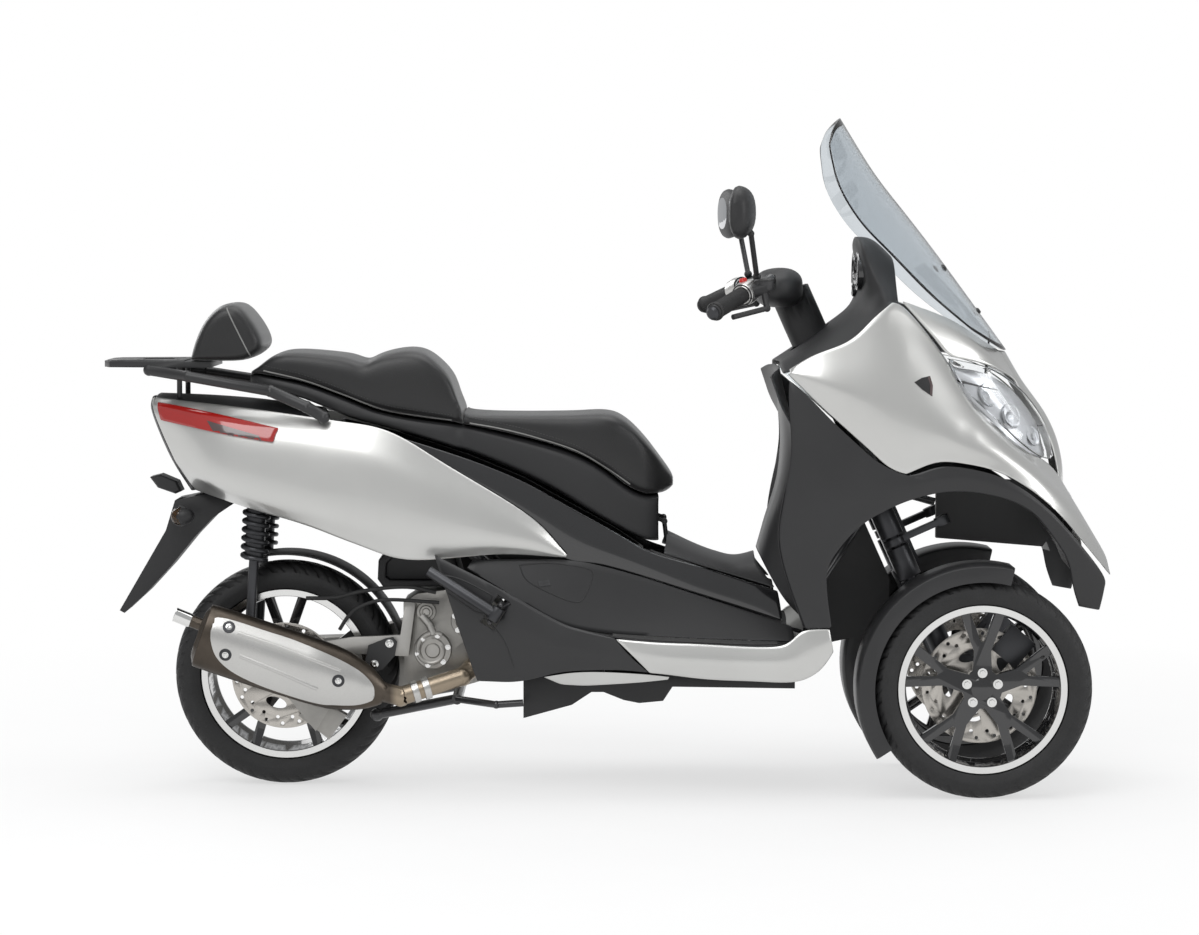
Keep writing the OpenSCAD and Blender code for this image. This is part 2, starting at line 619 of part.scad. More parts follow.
module rack() {
    foot = vert(deck, 1, 7);
    color("#3c3e42") {
        difference() {
            translate([0, 0, 952]) union() {
                linear_extrude(height = rack_t) polygon([[-1126, -60], [-1110, -100], [-940, -128],
                    [-880, -128],
                    [-880, 128], [-940, 128], [-1110, 100], [-1126, 60]]);
                linear_extrude(height = rack_t + 2) polygon([[-1120, -56], [-1106, -93], [-940, -119],
                    [-940, 119], [-1106, 93], [-1120, 56]]);
            }
            for (s = [-1, 1])
                translate([-1020, 84 * s, 958]) cube([60, 14, 40], center = true);
            translate([-1010, 0, 958]) cube([70, 60, 40], center = true);
            for (a = [-1, 1], b = [-1, 1])
                translate([-1005 + rack_dx * a, rack_dy * b, 940]) cylinder(r = rack_hole_r, h = 40);
        }
        both() {
            rod([-1020, 108, 946], [-928, 158, 934], 12);
            rod([-928, 158, 934], [-740, 198, 903], 12);
            rod([-740, 198, 903], [-660, 202, 868], 13);
            rod([-660, 202, 868], [-622, 196, 845], 13);
            joint([-1020, 108, 946], 12);
            joint([-928, 158, 934], 12);
            joint([-740, 198, 903], 12.5, 90);
            joint([-660, 202, 868], 13, 90);
            joint([-622, 196, 845], 13, 90);
            rod([foot.x, foot.y, 958], foot + [0, 0, 1.5], 6);
        }
    }
}

module backrest() {
    section = [[-926, 970], [-916, 1008], [-894, 1056], [-862, 1088], [-836, 1094], [-810, 1086], [-778,
        1046],
        [-762, 1006], [-776, 984], [-804, 969], [-850, 966.5], [-900, 966.5]];
    c = [-850, 1010];
    rows = [[-150, 0.6], [-146, 0.82], [-130, 0.95], [-90, 1], [0, 1.01], [90, 1], [130, 0.95], [146,
        0.82], [150, 0.6]];
    color("#1a1a1b") {
        loft([for (r = rows) [for (p = section) [c.x + (p.x - c.x) * r[1], r[0],
            c.y + (p.y - c.y) * r[1]]]]);
    }
}

module underseat_tub() {
    color("#202124") difference() {
        plate_y(-tub_half, tub_half) polygon([[-600, 826], [-600, 640], [-440, 610], [-240, 560], [-225,
            462],
            [85, 462], [92, 530], [25, 574], [-83, 634], [-185, 690], [-308, 741], [-411, 775], [-482,
                797]]);
        plate_y(tub_wall - tub_half, tub_half - tub_wall) polygon([[-600 + tub_wall, 900],
            [-600 + tub_wall, 640 + tub_wall], [-440, 610 + tub_wall], [-236 + tub_wall, 560 + tub_wall],
            [-225 + tub_wall, 462 + tub_wall], [85 - tub_wall, 462 + tub_wall], [92 - tub_wall, 900]]);
    }
}

module engine() {
    color("#8b8a86") translate(unit_at) {
        difference() {
            union() {
                plate_y(-88, 84) polygon([[-452, 250], [-430, 230], [-330, 226], [-262, 246], [-225, 268],
                    [-212, 300], [-225, 400], [-270, 448], [-330, 452], [-420, 440], [-452, 420]]);
                bar_y(-385, 314, -112, -88, 42);
                bar_y(-310, 380, -104, -88, 34);
                bar_y(-400, 400, -100, -88, 22);
                for (y = [-60, 30])
                    plate_y(y, y + 30) polygon([[-260, 250], [-206, 274], [-190, 274], [-190, 326],
                        [-240, 350]]);
                for (y = [-60, 30])
                    bar_y(-190, 300, y, y + 30, 28);
            }
            bar_y(-190, 300, -80, 80, 18 + run_gap);
            bar_y(stand_x, stand_z, -140, 140, 22);
        }
    }
}

// Drive case on the left with the rear axle
module transmission() {
    color("#7f8083") translate(unit_at) {
        plate_y(85, 150) polygon([[-800, 250], [-782, 205], [-730, 184], [-600, 190], [-420, 200], [-330,
            226],
            [-262, 250], [-228, 290], [-236, 350], [-290, 386], [-400, 380], [-600, 322], [-740, 318],
                [-785, 296]]);
        bar_y(unit_axle.x, unit_axle.z, -108, 100, 10);
        bar_y(-797, 297.5, 100, 136, 22);
    }
}

// Right arm that carries the rear axle, with the rear brake caliper
module rear_arm() {
    color("#909194") translate(unit_at) difference() {
        union() {
            plate_y(-110, -94) polygon([[-446, 430], [-458, 348], [-560, 344], [-650, 330], [-700, 294],
                [-752, 262],
                [-748, 222], [-722, 214], [-690, 230], [-640, 292], [-560, 306], [-440, 300], [-424, 420]]);
            bar_y(unit_axle.x, unit_axle.z, -110, -92, 30);
            difference() {
                plate_y(-104, -70) polygon([[-640, 200], [-580, 165], [-620, 110], [-690, 165]]);
                bar_y(unit_axle.x, unit_axle.z, -91 - disc_t, -77, rear_disc_r + 5);
            }
            plate_y(-110, -94) polygon([[-720, 216], [-690, 230], [-620, 180], [-650, 130]]);
            bar_y(-797, 297.5, -136, -94, 22);
            rod([-795, -102, 297], [-740, -102, 258], 15);
            cone([-690, -102, 272], [-690, -138, 272], 8, 2);
        }
        bar_y(unit_axle.x, unit_axle.z, -140, 0, 10 + run_gap);
    }
}

module rear_shocks() {
    color("#55585c") both() difference() {
        union() {
            rod([-775, 118, 690], [-798, 118, 345] + unit_at, 11);
            rod([-776, 118, 680], [-786, 118, 520], 22);
            bar_y(-774, 700, 104, 132, 18);
            translate(unit_at) bar_y(-799, 338, 100, 136, 18);
        }
        bar_y(-774, 700, 90, 140, 7.5 + run_gap);
    }
}

module exhaust() {
    color("#3b3733") translate(unit_at) {
        loft([for (s = can_form) [for (k = [0 : 19]) can_at(s[0], 18 * k, s[1], 0)]]);
        rod([-528, -180, 236], [-455, -162, 216], 22);
        rod([-455, -162, 216], [-318, -138, 258], 21);
        rod([-318, -138, 258], [-300, -118, 272], 20.6);
        bar_y(-300, 272, -118, -88.5, 20);
        joint([-455, -162, 216], 22);
        joint([-318, -138, 258], 21);
        joint([-300, -118, 272], 20.6);
        rod([-952, -190, 402], [-888, -190, 376], 14);
    }
}

// Pressed heat shield round the outside of the silencer
module muffler_shield() {
    steps = [0.06, 0.1, 0.25, 0.4, 0.52, 0.62, 0.71, 0.8, 0.86, 0.92, 0.965];
    g = [for (t = steps) [for (j = [0 : 7]) can_at(t, 126 + 18 * j, lookup(t, can_form), 4)]];
    h = [for (t = steps) [for (j = [0 : 7]) can_at(t, 126 + 18 * j, lookup(t, can_form), 0.6)]];
    color("#b9b9b6") translate(unit_at) shell(g, h);
}

// Air filter box over the engine
module air_box() {
    color("#1b1c1e") translate(unit_at) difference() {
        plate_y(-60, 132) polygon([[-512, 470], [-500, 452.7], [-330, 452.7], [-322, 470], [-336, 520],
            [-400, 544],
            [-480, 540], [-510, 514]]);
        for (y = [-58, 124])
            plate_y(y - 3, y + 9) polygon([[-494, 476], [-484, 468], [-350, 468], [-346, 476], [-356, 508],
                [-404, 528], [-474, 524], [-492, 506]]);
    }
}

module rear_hugger() {
    color("#1b1c1e") {
        translate([rear_x, 0, rear_z]) rotate([90, 0, 0]) rotate([0, 0, 13.4]) rotate_extrude(angle = 92,
            $fn = 64)
            polygon([[rear_tyre_r + 18, -76], [rear_tyre_r + 22, -76], [rear_tyre_r + 22, 76],
                [rear_tyre_r + 18, 76]]);
    }
}

// Rear flap with the blank number plate and the indicators
module plate_bracket() {
    color("#1b1c1e") {
        difference() {
            plate_y(-70, 70) polygon([[-969, 650], [-990, 582], [-1096, 400], [-1085, 394], [-1037, 438],
                [-980, 500],
                [-926, 566], [-882, 612], [-840, 640], [-882, 668]]);
            plate_y(-60, 60) polygon([[-962, 640], [-978, 582], [-1062, 430], [-1032, 450], [-975, 508],
                [-920, 574],
                [-880, 620], [-886, 655]]);
        }
        both() {
            bar_y(-946, 618, 70, 110, 8);
            translate([-946, 118, 618]) scale([1.2, 1, 0.9]) sphere(r = 22);
        }
    }
}

// Last bend of the handlebar, and the run of the grip from there to its end
bar_turn = [333, 205, 1132];
grip_run = [240, bar_half, 1082] - bar_turn;
module handlebar() {
    color("#2a2b2d") {
        in_steer_frame() translate([0, 0, -300]) cylinder(r = kingpin_r, h = 320);
        both() {
            rod([418, 0, 1134], [372, 130, 1150], bar_r);
            rod([372, 130, 1150], [333, 205, 1132], bar_r);
            rod(bar_turn, bar_turn + grip_run * 0.077, bar_r);
            joint([372, 130, 1150], bar_r);
            joint(bar_turn, bar_r);
        }
        joint([418, 0, 1134], bar_r + 6);
    }
}

module handlebar_cover() {
    color("#1e1f21") difference() {
        union() {
            pad([[346, 60, 1110, 1146], [356, 118, 1092, 1164], [390, 140, 1084, 1174], [424, 120, 1086,
                1172],
                [444, 84, 1096, 1160], [450, 50, 1106, 1146]], 8, 0.75, 20);
            in_steer_frame() translate([0, 0, -118]) cylinder(r = 45, h = 118);
        }
        in_steer_frame() translate([0, 0, -330]) cylinder(r = kingpin_r + 0.3, h = 370);
        both() {
            rod([418, 0, 1134], [372, 130, 1150], bar_r + 0.3);
            rod([372, 130, 1150], [333, 205, 1132], bar_r + 0.3);
            joint([372, 130, 1150], bar_r + 0.5);
        }
        joint([418, 0, 1134], bar_r + 6.3);
    }
}

// Grips, switch housings and brake levers
module controls() {
    a = bar_turn;
    b = bar_turn + grip_run;
    v = grip_run;
    color("#26272a") both() {
        rod(a + v * 0.3, b + v * 0.03, 17);
        rod(a + v * 0.08, a + v * 0.31, 24);
        rod(a + v * 0.24, a + v * 0.24 + [50, 8, 14], 15);
        rod(a + v * 0.24 + [42, 7, 12], a + [26, 62, -44], 7);
        rod(a + [26, 62, -44], b + [42, -40, -12], 6);
        joint(a + [26, 62, -44], 7);
    }
}

module mirrors() {
    color("#232427") both() {
        cone([341.07, 230.93, 1146.3], [338, 230.4, 1157], 3, 9);
        joint([338, 230.4, 1157], 8);
        rod([338, 230.4, 1157], [322, 300, 1252], 6);
        rod([322, 300, 1252], [300, 330, 1288], 7);
        joint([322, 300, 1252], 6.5);
        loft([for (s = [[-1, 0.35], [-0.92, 0.62], [-0.6, 0.92], [0, 1], [0.6, 0.94], [0.92, 0.66], [1,
            0.4]])
            [for (k = [0 : 15]) let (q = 22.5 * k)
                [296 - 12 * s[0] + 34 * s[1] * cos(q) * (cos(q) > 0 ? 1 : 0.55), 320 + 76 * s[0],
                    1298 + 58 * s[1] * sign(sin(q)) * pow(abs(sin(q)), 0.8)]]]);
    }
}

// Steered leg with its kingpin, stub axle, steering arm, caliper and mudguard stay
module knuckle() {
    y_in = half_track - 60;
    color("#4a4c50") {
            in_king_frame() {
                translate([0, 0, -40]) cylinder(r = 25, h = 296);
                translate([0, 0, 200]) cylinder(r = kingpin_r, h = 236);
                translate([0, 0, 340]) cylinder(r = 24, h = 16);
                translate([0, -13, 341]) cube([116, 26, 14]);
                translate([116, 0, 338]) cylinder(r = 17, h = 20);
            }
            bar_y(front_x, front_z, kingpin_y - 26, y_in, 33);
            bar_y(front_x, front_z, y_in, hub_out - 10, stub_r);
            translate([king_x - 6, kingpin_y - 22, front_z - 30]) cube([50, 44, 60]);
            translate([front_x, 0, front_z]) rotate([0, -50, 0]) {
                translate([10, y_in - 18, -22]) cube([100, 16, 44]);
                difference() {
                    translate([80, y_in - 4, -34]) cube([72, hub_in + 18 - y_in, 68]);
                    bar_y(0, 0, hub_in - disc_t - 5, hub_in + 5, front_disc_r + 4);
                }
            }
            rod([716, kingpin_y, 420], [616, kingpin_y + 4, 380], 8);
            bar_y(616, 380, kingpin_y - 4, half_track - 64.5, 8);
    }
}

module mudguard() {
    color("#2b2c2f") translate([front_x, half_track, front_z]) rotate([90, 0, 0]) rotate([0, 0, 76])
        rotate_extrude(angle = 137, $fn = 64)
            polygon([[240, -64], [274, -64], [280, -56], [280, 56], [274, 64], [240, 64], [240, 61],
                [272, 61],
                [276, 54], [276, -54], [272, -61], [240, -61]]);
}

module front_tyre() {
    color("#1b1b1c") translate([front_x, half_track, front_z]) tyre(front_tyre_r, front_tyre_w, front_rim_r, front_tyre_w - 26);
}

module front_rim() {
    color("#27282a") translate([front_x, half_track, front_z])
        rim(front_rim_r, front_tyre_w - 26, hub_in - half_track, 30, 44, stub_r + run_gap, 10, 8);
}

module front_disc() {
    color("#9a9892") translate([front_x, hub_in, front_z]) disc(front_disc_r, stub_r + 10);
}

module tyre_rear() {
    color("#1b1b1c") translate([rear_x, 0, rear_z]) tyre(rear_tyre_r, rear_tyre_w, rear_rim_r, rear_tyre_w - 30);
}

module rim_rear() {
    color("#27282a") translate([rear_x, 0, rear_z]) mirror([0, 1, 0])
        rim(rear_rim_r, rear_tyre_w - 30, -76, 82, 42, 10 + run_gap, 30, -1);
}

module disc_rear() {
    color("#9a9892") translate([rear_x, -82, rear_z]) disc(rear_disc_r, 24);
}

// Stations of the seat: x, half width, bottom of the base, seam, top of the pads
seat_row = [[-792, 106, 914, 936, 942], [-772, 132, 908, 936, 956], [-730, 148, 898, 928, 984], [-669,
    156, 882, 916, 988],
    [-580, 163, 845, 884, 979], [-536, 164, 832, 866, 968], [-490, 164, 820, 850, 986], [-410, 164, 798,
        836, 991],
    [-345, 158, 776, 828, 935], [-318, 149, 767, 824, 862], [-285, 139, 756, 818, 848], [-157, 135, 700,
        788, 846],
    [-60, 138, 645, 756, 848], [9, 137, 604, 716, 850], [52, 129, 580, 682, 832], [93, 118, 562, 664, 792],
    [124, 96, 560, 664, 752]];
function seat_at(t, a, b) = let (q = along(seat_row, t)) [q[0], q[1], q[a] + (a == 3 ? 1.3 : 0), q[b]];

module seat_base() {
    color("#1c1c1d") difference() {
        union() {
            loft([for (i = [0 : 20]) ring(seat_at(i / 20, 2, 3), 0.3, 16)]);
            both() {
                rod([112, 56, 612], [hinge_x, 56, hinge_z], 5);
                bar_y(hinge_x, hinge_z, 48, 64, 7);
            }
        }
        bar_y(hinge_x, hinge_z, -70, 70, 3 + run_gap);
    }
}

module rider_seat() {
    nose = [[140, 78, 668, 731], [156, 52, 680, 706]];
    color("#19191a") loft(concat([for (i = [0 : 12]) ring(seat_at(0.581 + i * 0.0349, 3, 4), 0.42, 16)],
        [for (q = nose) ring(q, 0.6, 16)]));
}

module passenger_seat() {
    color("#19191a") loft([for (i = [0 : 18]) ring(seat_at(0.004 + i * 0.0313, 3, 4), 0.42, 16)]);
}

module centre_stand() {
    color("#1f2022") translate(unit_at) {
        bar_y(stand_x, stand_z, -130, 130, 12);
        both() {
            rod([stand_x, 118, stand_z], [stand_x - 180, 132, stand_z - 34], 11);
            joint([stand_x - 180, 132, stand_z - 34], 14);
        }
        bar_y(stand_x - 110, stand_z - 21, -126, 126, 9);
        rod([stand_x, -124, stand_z], [stand_x + 90, -176, stand_z - 6], 8);
        rod([stand_x + 90, -176, stand_z - 6], [stand_x + 150, -176, stand_z - 2], 8);
        joint([stand_x + 90, -176, stand_z - 6], 8);
    }
}

module footpeg() {
    color("#2b2c2f") difference() {
        union() {
            rod(peg, [-388, 240, 506], 12);
            rod(peg - 16 * peg_axis, peg + 16 * peg_axis, 14);
        }
        rod(peg - 20 * peg_axis, peg + 20 * peg_axis, 4 + run_gap);
    }
}

frame_head();
frame_cradle();
right() frame_rear();  // frame_rear_right
frame_rear();  // frame_rear_left
tilt_linkage();
front_fairing();
nose_hood();
arch_panels();
arch_liner();
front_grille();
headlamps();
windscreen();
dashboard();
leg_shield_panel();  // leg_shield
tunnel_cover();
tunnel_sides();
seat_surround();
footboards();
sills();
belly_panels();
under_tray();
tail_panels();
tail_cover();
tail_lamps();
rack();
backrest();
underseat_tub();
engine();
transmission();
rear_arm();
rear_shocks();
exhaust();
muffler_shield();
air_box();
rear_hugger();
plate_bracket();
handlebar();
handlebar_cover();
controls();
mirrors();
right() knuckle();  // knuckle_right
knuckle();  // knuckle_left
right() mudguard();  // mudguard_right
mudguard();  // mudguard_left
right() front_tyre();  // tyre_front_right
front_tyre();  // tyre_front_left
right() front_rim();  // rim_front_right
front_rim();  // rim_front_left
right() front_disc();  // disc_front_right
front_disc();  // disc_front_left
tyre_rear();
rim_rear();
disc_rear();
seat_base();
rider_seat();
passenger_seat();
centre_stand();
right() footpeg();  // footpeg_right
footpeg();  // footpeg_left
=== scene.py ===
"""Three-wheel motor scooter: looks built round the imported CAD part. Sizes in the tables are millimetres."""

import json
import math

import bmesh
import bpy
import numpy as np
from mathutils import Matrix, Vector
from mathutils.bvhtree import BVHTree


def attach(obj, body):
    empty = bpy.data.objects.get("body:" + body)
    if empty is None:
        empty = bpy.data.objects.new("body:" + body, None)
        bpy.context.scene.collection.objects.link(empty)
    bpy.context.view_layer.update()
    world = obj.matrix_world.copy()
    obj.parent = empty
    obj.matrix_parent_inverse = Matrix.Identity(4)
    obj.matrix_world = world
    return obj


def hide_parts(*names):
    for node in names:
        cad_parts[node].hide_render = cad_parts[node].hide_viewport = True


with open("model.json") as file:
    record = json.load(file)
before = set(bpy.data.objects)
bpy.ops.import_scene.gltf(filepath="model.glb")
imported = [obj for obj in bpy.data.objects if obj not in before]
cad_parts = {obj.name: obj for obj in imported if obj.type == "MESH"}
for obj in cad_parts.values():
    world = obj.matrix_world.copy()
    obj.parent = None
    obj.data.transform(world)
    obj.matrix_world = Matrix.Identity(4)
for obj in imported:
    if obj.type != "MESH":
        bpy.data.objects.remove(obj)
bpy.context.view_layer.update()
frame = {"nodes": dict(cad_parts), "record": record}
BODY_OF = {n: b for b, ns in frame["record"]["behaviour"]["bodies"].items() for n in ns}
MM = 0.001
SIDES = (-1, 1)

# wheel centres, tyre radii and rim lip radii
FRONT_X, FRONT_Z, HALF_TRACK = 839.0, 245.0, 232.0
REAR_X, REAR_Z = -721.0, 254.0
FRONT_R, FRONT_LIP_R = 245, 188
REAR_R, REAR_LIP_R = 254, 193


def mm(x, y, z):
    return Vector((x, y, z)) * MM


# ---------- the photograph's view

EYE, LENS, DOWN_TILT = (-0.009, -8.177, 1.260), 107.97, 3.78


def set_camera():
    view = bpy.data.cameras.new("photo_view")
    view.sensor_width = 36.0
    view.lens = LENS
    eye = bpy.data.objects.new("photo_view", view)
    eye.location = EYE
    eye.rotation_euler = (math.radians(90 - DOWN_TILT), 0, 0)
    bpy.context.scene.collection.objects.link(eye)
    bpy.context.scene.camera = eye


# ---------- finishes

def noise(tree, where, scale, detail=3.0, rough=0.55):
    n = tree.nodes.new("ShaderNodeTexNoise")
    n.inputs["Scale"].default_value = scale
    n.inputs["Detail"].default_value = detail
    n.inputs["Roughness"].default_value = rough
    tree.links.new(where.outputs["Object"], n.inputs["Vector"])
    return n.outputs["Fac"]


def cells(tree, where, scale, feature="DISTANCE_TO_EDGE"):
    n = tree.nodes.new("ShaderNodeTexVoronoi")
    n.feature = feature
    n.inputs["Scale"].default_value = scale
    tree.links.new(where.outputs["Object"], n.inputs["Vector"])
    return n.outputs["Distance"]


def ramp(tree, fac, stops):
    r = tree.nodes.new("ShaderNodeValToRGB")
    marks = r.color_ramp.elements
    while len(marks) < len(stops):
        marks.new(0.5)
    for mark, (place, colour) in zip(marks, stops):
        mark.position = place
        mark.color = (*colour, 1.0)
    tree.links.new(fac, r.inputs["Fac"])
    return r.outputs["Color"]


def spread(tree, fac, low, high, start=0.3, end=0.7):
    m = tree.nodes.new("ShaderNodeMapRange")
    m.inputs["From Min"].default_value = start
    m.inputs["From Max"].default_value = end
    m.inputs["To Min"].default_value = low
    m.inputs["To Max"].default_value = high
    tree.links.new(fac, m.inputs["Value"])
    return m.outputs["Result"]


def mixed(tree, fac, first, second):
    m = tree.nodes.new("ShaderNodeMix")
    m.data_type = "RGBA"
    tree.links.new(fac, m.inputs[0])
    for socket, colour in ((m.inputs[6], first), (m.inputs[7], second)):
        if isinstance(colour, tuple):
            socket.default_value = (*colour, 1.0)
        else:
            tree.links.new(colour, socket)
    return m.outputs[2]


def relief(tree, height, strength, depth):
    b = tree.nodes.new("ShaderNodeBump")
    b.inputs["Strength"].default_value = strength
    b.inputs["Distance"].default_value = depth
    tree.links.new(height, b.inputs["Height"])
    return b.outputs["Normal"]


def shade(colour, by):
    return tuple(min(1.0, max(0.0, c * by)) for c in colour)


def finish(name, colour, rough, metal=0.0, mottle=5.0, vary=0.1, grain=700.0, bump=0.15, depth=0.0003,
           worn=None, height=None, **sockets):
    """A finish with broad colour drift, fine grain in gloss and surface, and paler edges where it wears."""
    paint = bpy.data.materials.new(name)
    paint.use_nodes = True
    tree = paint.node_tree
    skin = tree.nodes["Principled BSDF"]
    where = tree.nodes.new("ShaderNodeTexCoord")
    fine = noise(tree, where, grain)
    tone = ramp(tree, noise(tree, where, mottle, 5.0),
                [(0.3, shade(colour, 1 - vary)), (0.7, shade(colour, 1 + vary))])
    if worn:
        edge = tree.nodes.new("ShaderNodeNewGeometry").outputs["Pointiness"]
        tone = mixed(tree, spread(tree, edge, 0.0, worn[1], 0.53, 0.62), tone, worn[0])
    tree.links.new(tone, skin.inputs["Base Color"])
    tree.links.new(spread(tree, fine, rough * 0.85, min(1.0, rough * 1.15)), skin.inputs["Roughness"])
    tall = height(tree, where) if height else fine
    if bump:
        tree.links.new(relief(tree, tall, bump, depth), skin.inputs["Normal"])
    skin.inputs["Metallic"].default_value = metal
    for socket, value in sockets.items():
        skin.inputs[socket.replace("_", " ")].default_value = value
    return paint


def leather_grain(tree, where):
    return cells(tree, where, 330.0)


def brushed(tree, where):
    m = tree.nodes.new("ShaderNodeMapping")
    m.inputs["Scale"].default_value = (18, 900, 900)
    tree.links.new(where.outputs["Object"], m.inputs["Vector"])
    n = tree.nodes.new("ShaderNodeTexNoise")
    n.inputs["Scale"].default_value = 1.0
    tree.links.new(m.outputs["Vector"], n.inputs["Vector"])
    return n.outputs["Fac"]


def glass(name, colour, rough, **sockets):
    paint = finish(name, colour, rough, vary=0.03, mottle=3.0, bump=0.0, **sockets)
    skin = paint.node_tree.nodes["Principled BSDF"]
    skin.inputs["Transmission Weight"].default_value = 1.0
    skin.inputs["IOR"].default_value = 1.45
    return paint


def tint_by_place(paint, axis, start, end, colour):
    """Another colour past a place along one axis, as where a pipe leaves its painted can."""
    tree = paint.node_tree
    skin = tree.nodes["Principled BSDF"]
    before = skin.inputs["Base Color"].links[0].from_socket
    where = tree.nodes.new("ShaderNodeTexCoord")
    split = tree.nodes.new("ShaderNodeSeparateXYZ")
    tree.links.new(where.outputs["Object"], split.inputs[0])
    share = spread(tree, split.outputs[axis], 0.0, 1.0, start, end)
    tree.links.new(mixed(tree, share, before, colour), skin.inputs["Base Color"])


SILVER = finish("silver_paint", (0.57, 0.57, 0.555), 0.34, 0.80, vary=0.03, grain=2600, bump=0.04,
                depth=0.0001, Coat_Weight=0.9, Coat_Roughness=0.06)
SATIN = finish("dark_plastic", (0.019, 0.019, 0.020), 0.40, vary=0.12, grain=1300, bump=0.22, depth=0.0002,
               worn=((0.06, 0.06, 0.064), 0.3))
GLOSS = finish("black_gloss", (0.009, 0.009, 0.010), 0.16, vary=0.2, grain=400, bump=0.02, Coat_Weight=1.0,
               Coat_Roughness=0.04)
PLASTIC = finish("black_plastic", (0.012, 0.012, 0.013), 0.52, vary=0.15, grain=900, bump=0.35, depth=0.00025,
                 worn=((0.045, 0.045, 0.045), 0.3))
FRAME_PAINT = finish("frame_paint", (0.024, 0.024, 0.026), 0.34, vary=0.15, bump=0.1, Coat_Weight=0.3)
CAST = finish("cast_metal", (0.36, 0.35, 0.33), 0.46, 0.9, mottle=14, vary=0.16, grain=520, bump=0.4,
              depth=0.0004, worn=((0.55, 0.54, 0.52), 0.5))
DARK_METAL = finish("dark_metal", (0.055, 0.056, 0.06), 0.38, 0.75, vary=0.2, grain=420, bump=0.15)
PIPE = finish("exhaust_metal", (0.075, 0.062, 0.05), 0.36, 0.85, mottle=9, vary=0.35, grain=300, bump=0.12)
tint_by_place(PIPE, "X", -0.478, -0.462, (0.34, 0.28, 0.21))
SHIELD = finish("shield_metal", (0.56, 0.555, 0.54), 0.3, 0.9, mottle=4, vary=0.05, grain=1500, bump=0.12,
                height=brushed, depth=0.0002)
STEEL = finish("disc_steel", (0.50, 0.475, 0.44), 0.27, 0.95, mottle=20, vary=0.1, grain=900, bump=0.15)
BRIGHT = finish("bright_metal", (0.72, 0.72, 0.71), 0.15, 1.0, vary=0.04, bump=0.03)
RUBBER = finish("rubber", (0.011, 0.011, 0.0115), 0.62, mottle=30, vary=0.25, grain=420, bump=0.35,
                depth=0.0004, worn=((0.04, 0.039, 0.037), 0.4))
LEATHER = finish("seat_cover", (0.008, 0.008, 0.0085), 0.4, mottle=7, vary=0.2, grain=300, bump=0.55,
                 depth=0.0006, height=leather_grain, Sheen_Weight=0.25, Sheen_Roughness=0.4)
PIPING = finish("seat_piping", (0.20, 0.20, 0.195), 0.5, vary=0.1, grain=900, bump=0.3)
THREAD = finish("seat_thread", (0.05, 0.05, 0.05), 0.7, vary=0.2, grain=1500, bump=0.5)
RED = finish("switch_red", (0.55, 0.02, 0.015), 0.35, vary=0.05, grain=800, bump=0.1)
AMBER = glass("lamp_amber", (0.95, 0.42, 0.06), 0.1)
CLEAR = glass("lamp_clear", (0.96, 0.97, 0.98), 0.02)
RUBY = finish("lamp_red", (0.34, 0.012, 0.010), 0.12, vary=0.12, grain=60, bump=0.05, Coat_Weight=1.0,
              Coat_Roughness=0.03)
SMOKE = finish("lamp_smoke", (0.075, 0.05, 0.05), 0.12, vary=0.12, grain=60, bump=0.05, Coat_Weight=1.0)
TINT = glass("screen_tint", (0.62, 0.66, 0.69), 0.015)
REFLECTOR = finish("lamp_reflector", (0.60, 0.61, 0.63), 0.36, 0.9, mottle=16, vary=0.10, grain=60, bump=0.06,
                   depth=0.001)
MIRROR = finish("mirror_glass", (0.60, 0.61, 0.63), 0.03, 1.0, vary=0.02, bump=0.0)
DIAL = finish("dial_face", (0.03, 0.032, 0.036), 0.4, vary=0.1, bump=0.05)
MARK = finish("dial_mark", (0.75, 0.75, 0.72), 0.5, vary=0.05, bump=0.05)


# ---------- making and placing pieces

def link(name, mesh):
    obj = bpy.data.objects.new(name, mesh)
    bpy.context.scene.collection.objects.link(obj)
    return obj


def piece(name, mesh, paint, body, slot, *nodes, sharp=35.0):
    """A finished piece at the origin that rides on a body and may stand for CAD nodes."""
    if isinstance(mesh, bmesh.types.BMesh):
        made = bpy.data.meshes.new(name)
        mesh.to_mesh(made)
        mesh.free()
        mesh = made
    mesh.materials.clear()
    mesh.materials.append(paint)
    mesh.polygons.foreach_set("use_smooth", [True] * len(mesh.polygons))
    mesh.set_sharp_from_angle(angle=math.radians(sharp))
    obj = link(name, mesh)
    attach(obj, body)
    if nodes:
        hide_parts(*nodes)
    return obj


def baked(obj):
    return bpy.data.meshes.new_from_object(obj.evaluated_get(bpy.context.evaluated_depsgraph_get()))


def drop(obj):
    mesh = obj.data
    bpy.data.objects.remove(obj)
    if isinstance(mesh, bpy.types.Mesh):
        bpy.data.meshes.remove(mesh)


def merged(node):
    bm = bmesh.new()
    bm.from_mesh(frame["nodes"][node].data)
    bmesh.ops.remove_doubles(bm, verts=bm.verts[:], dist=2e-5)
    return bm


def places(mesh):
    co = np.zeros(len(mesh.vertices) * 3)
    mesh.vertices.foreach_get("co", co)
    return co


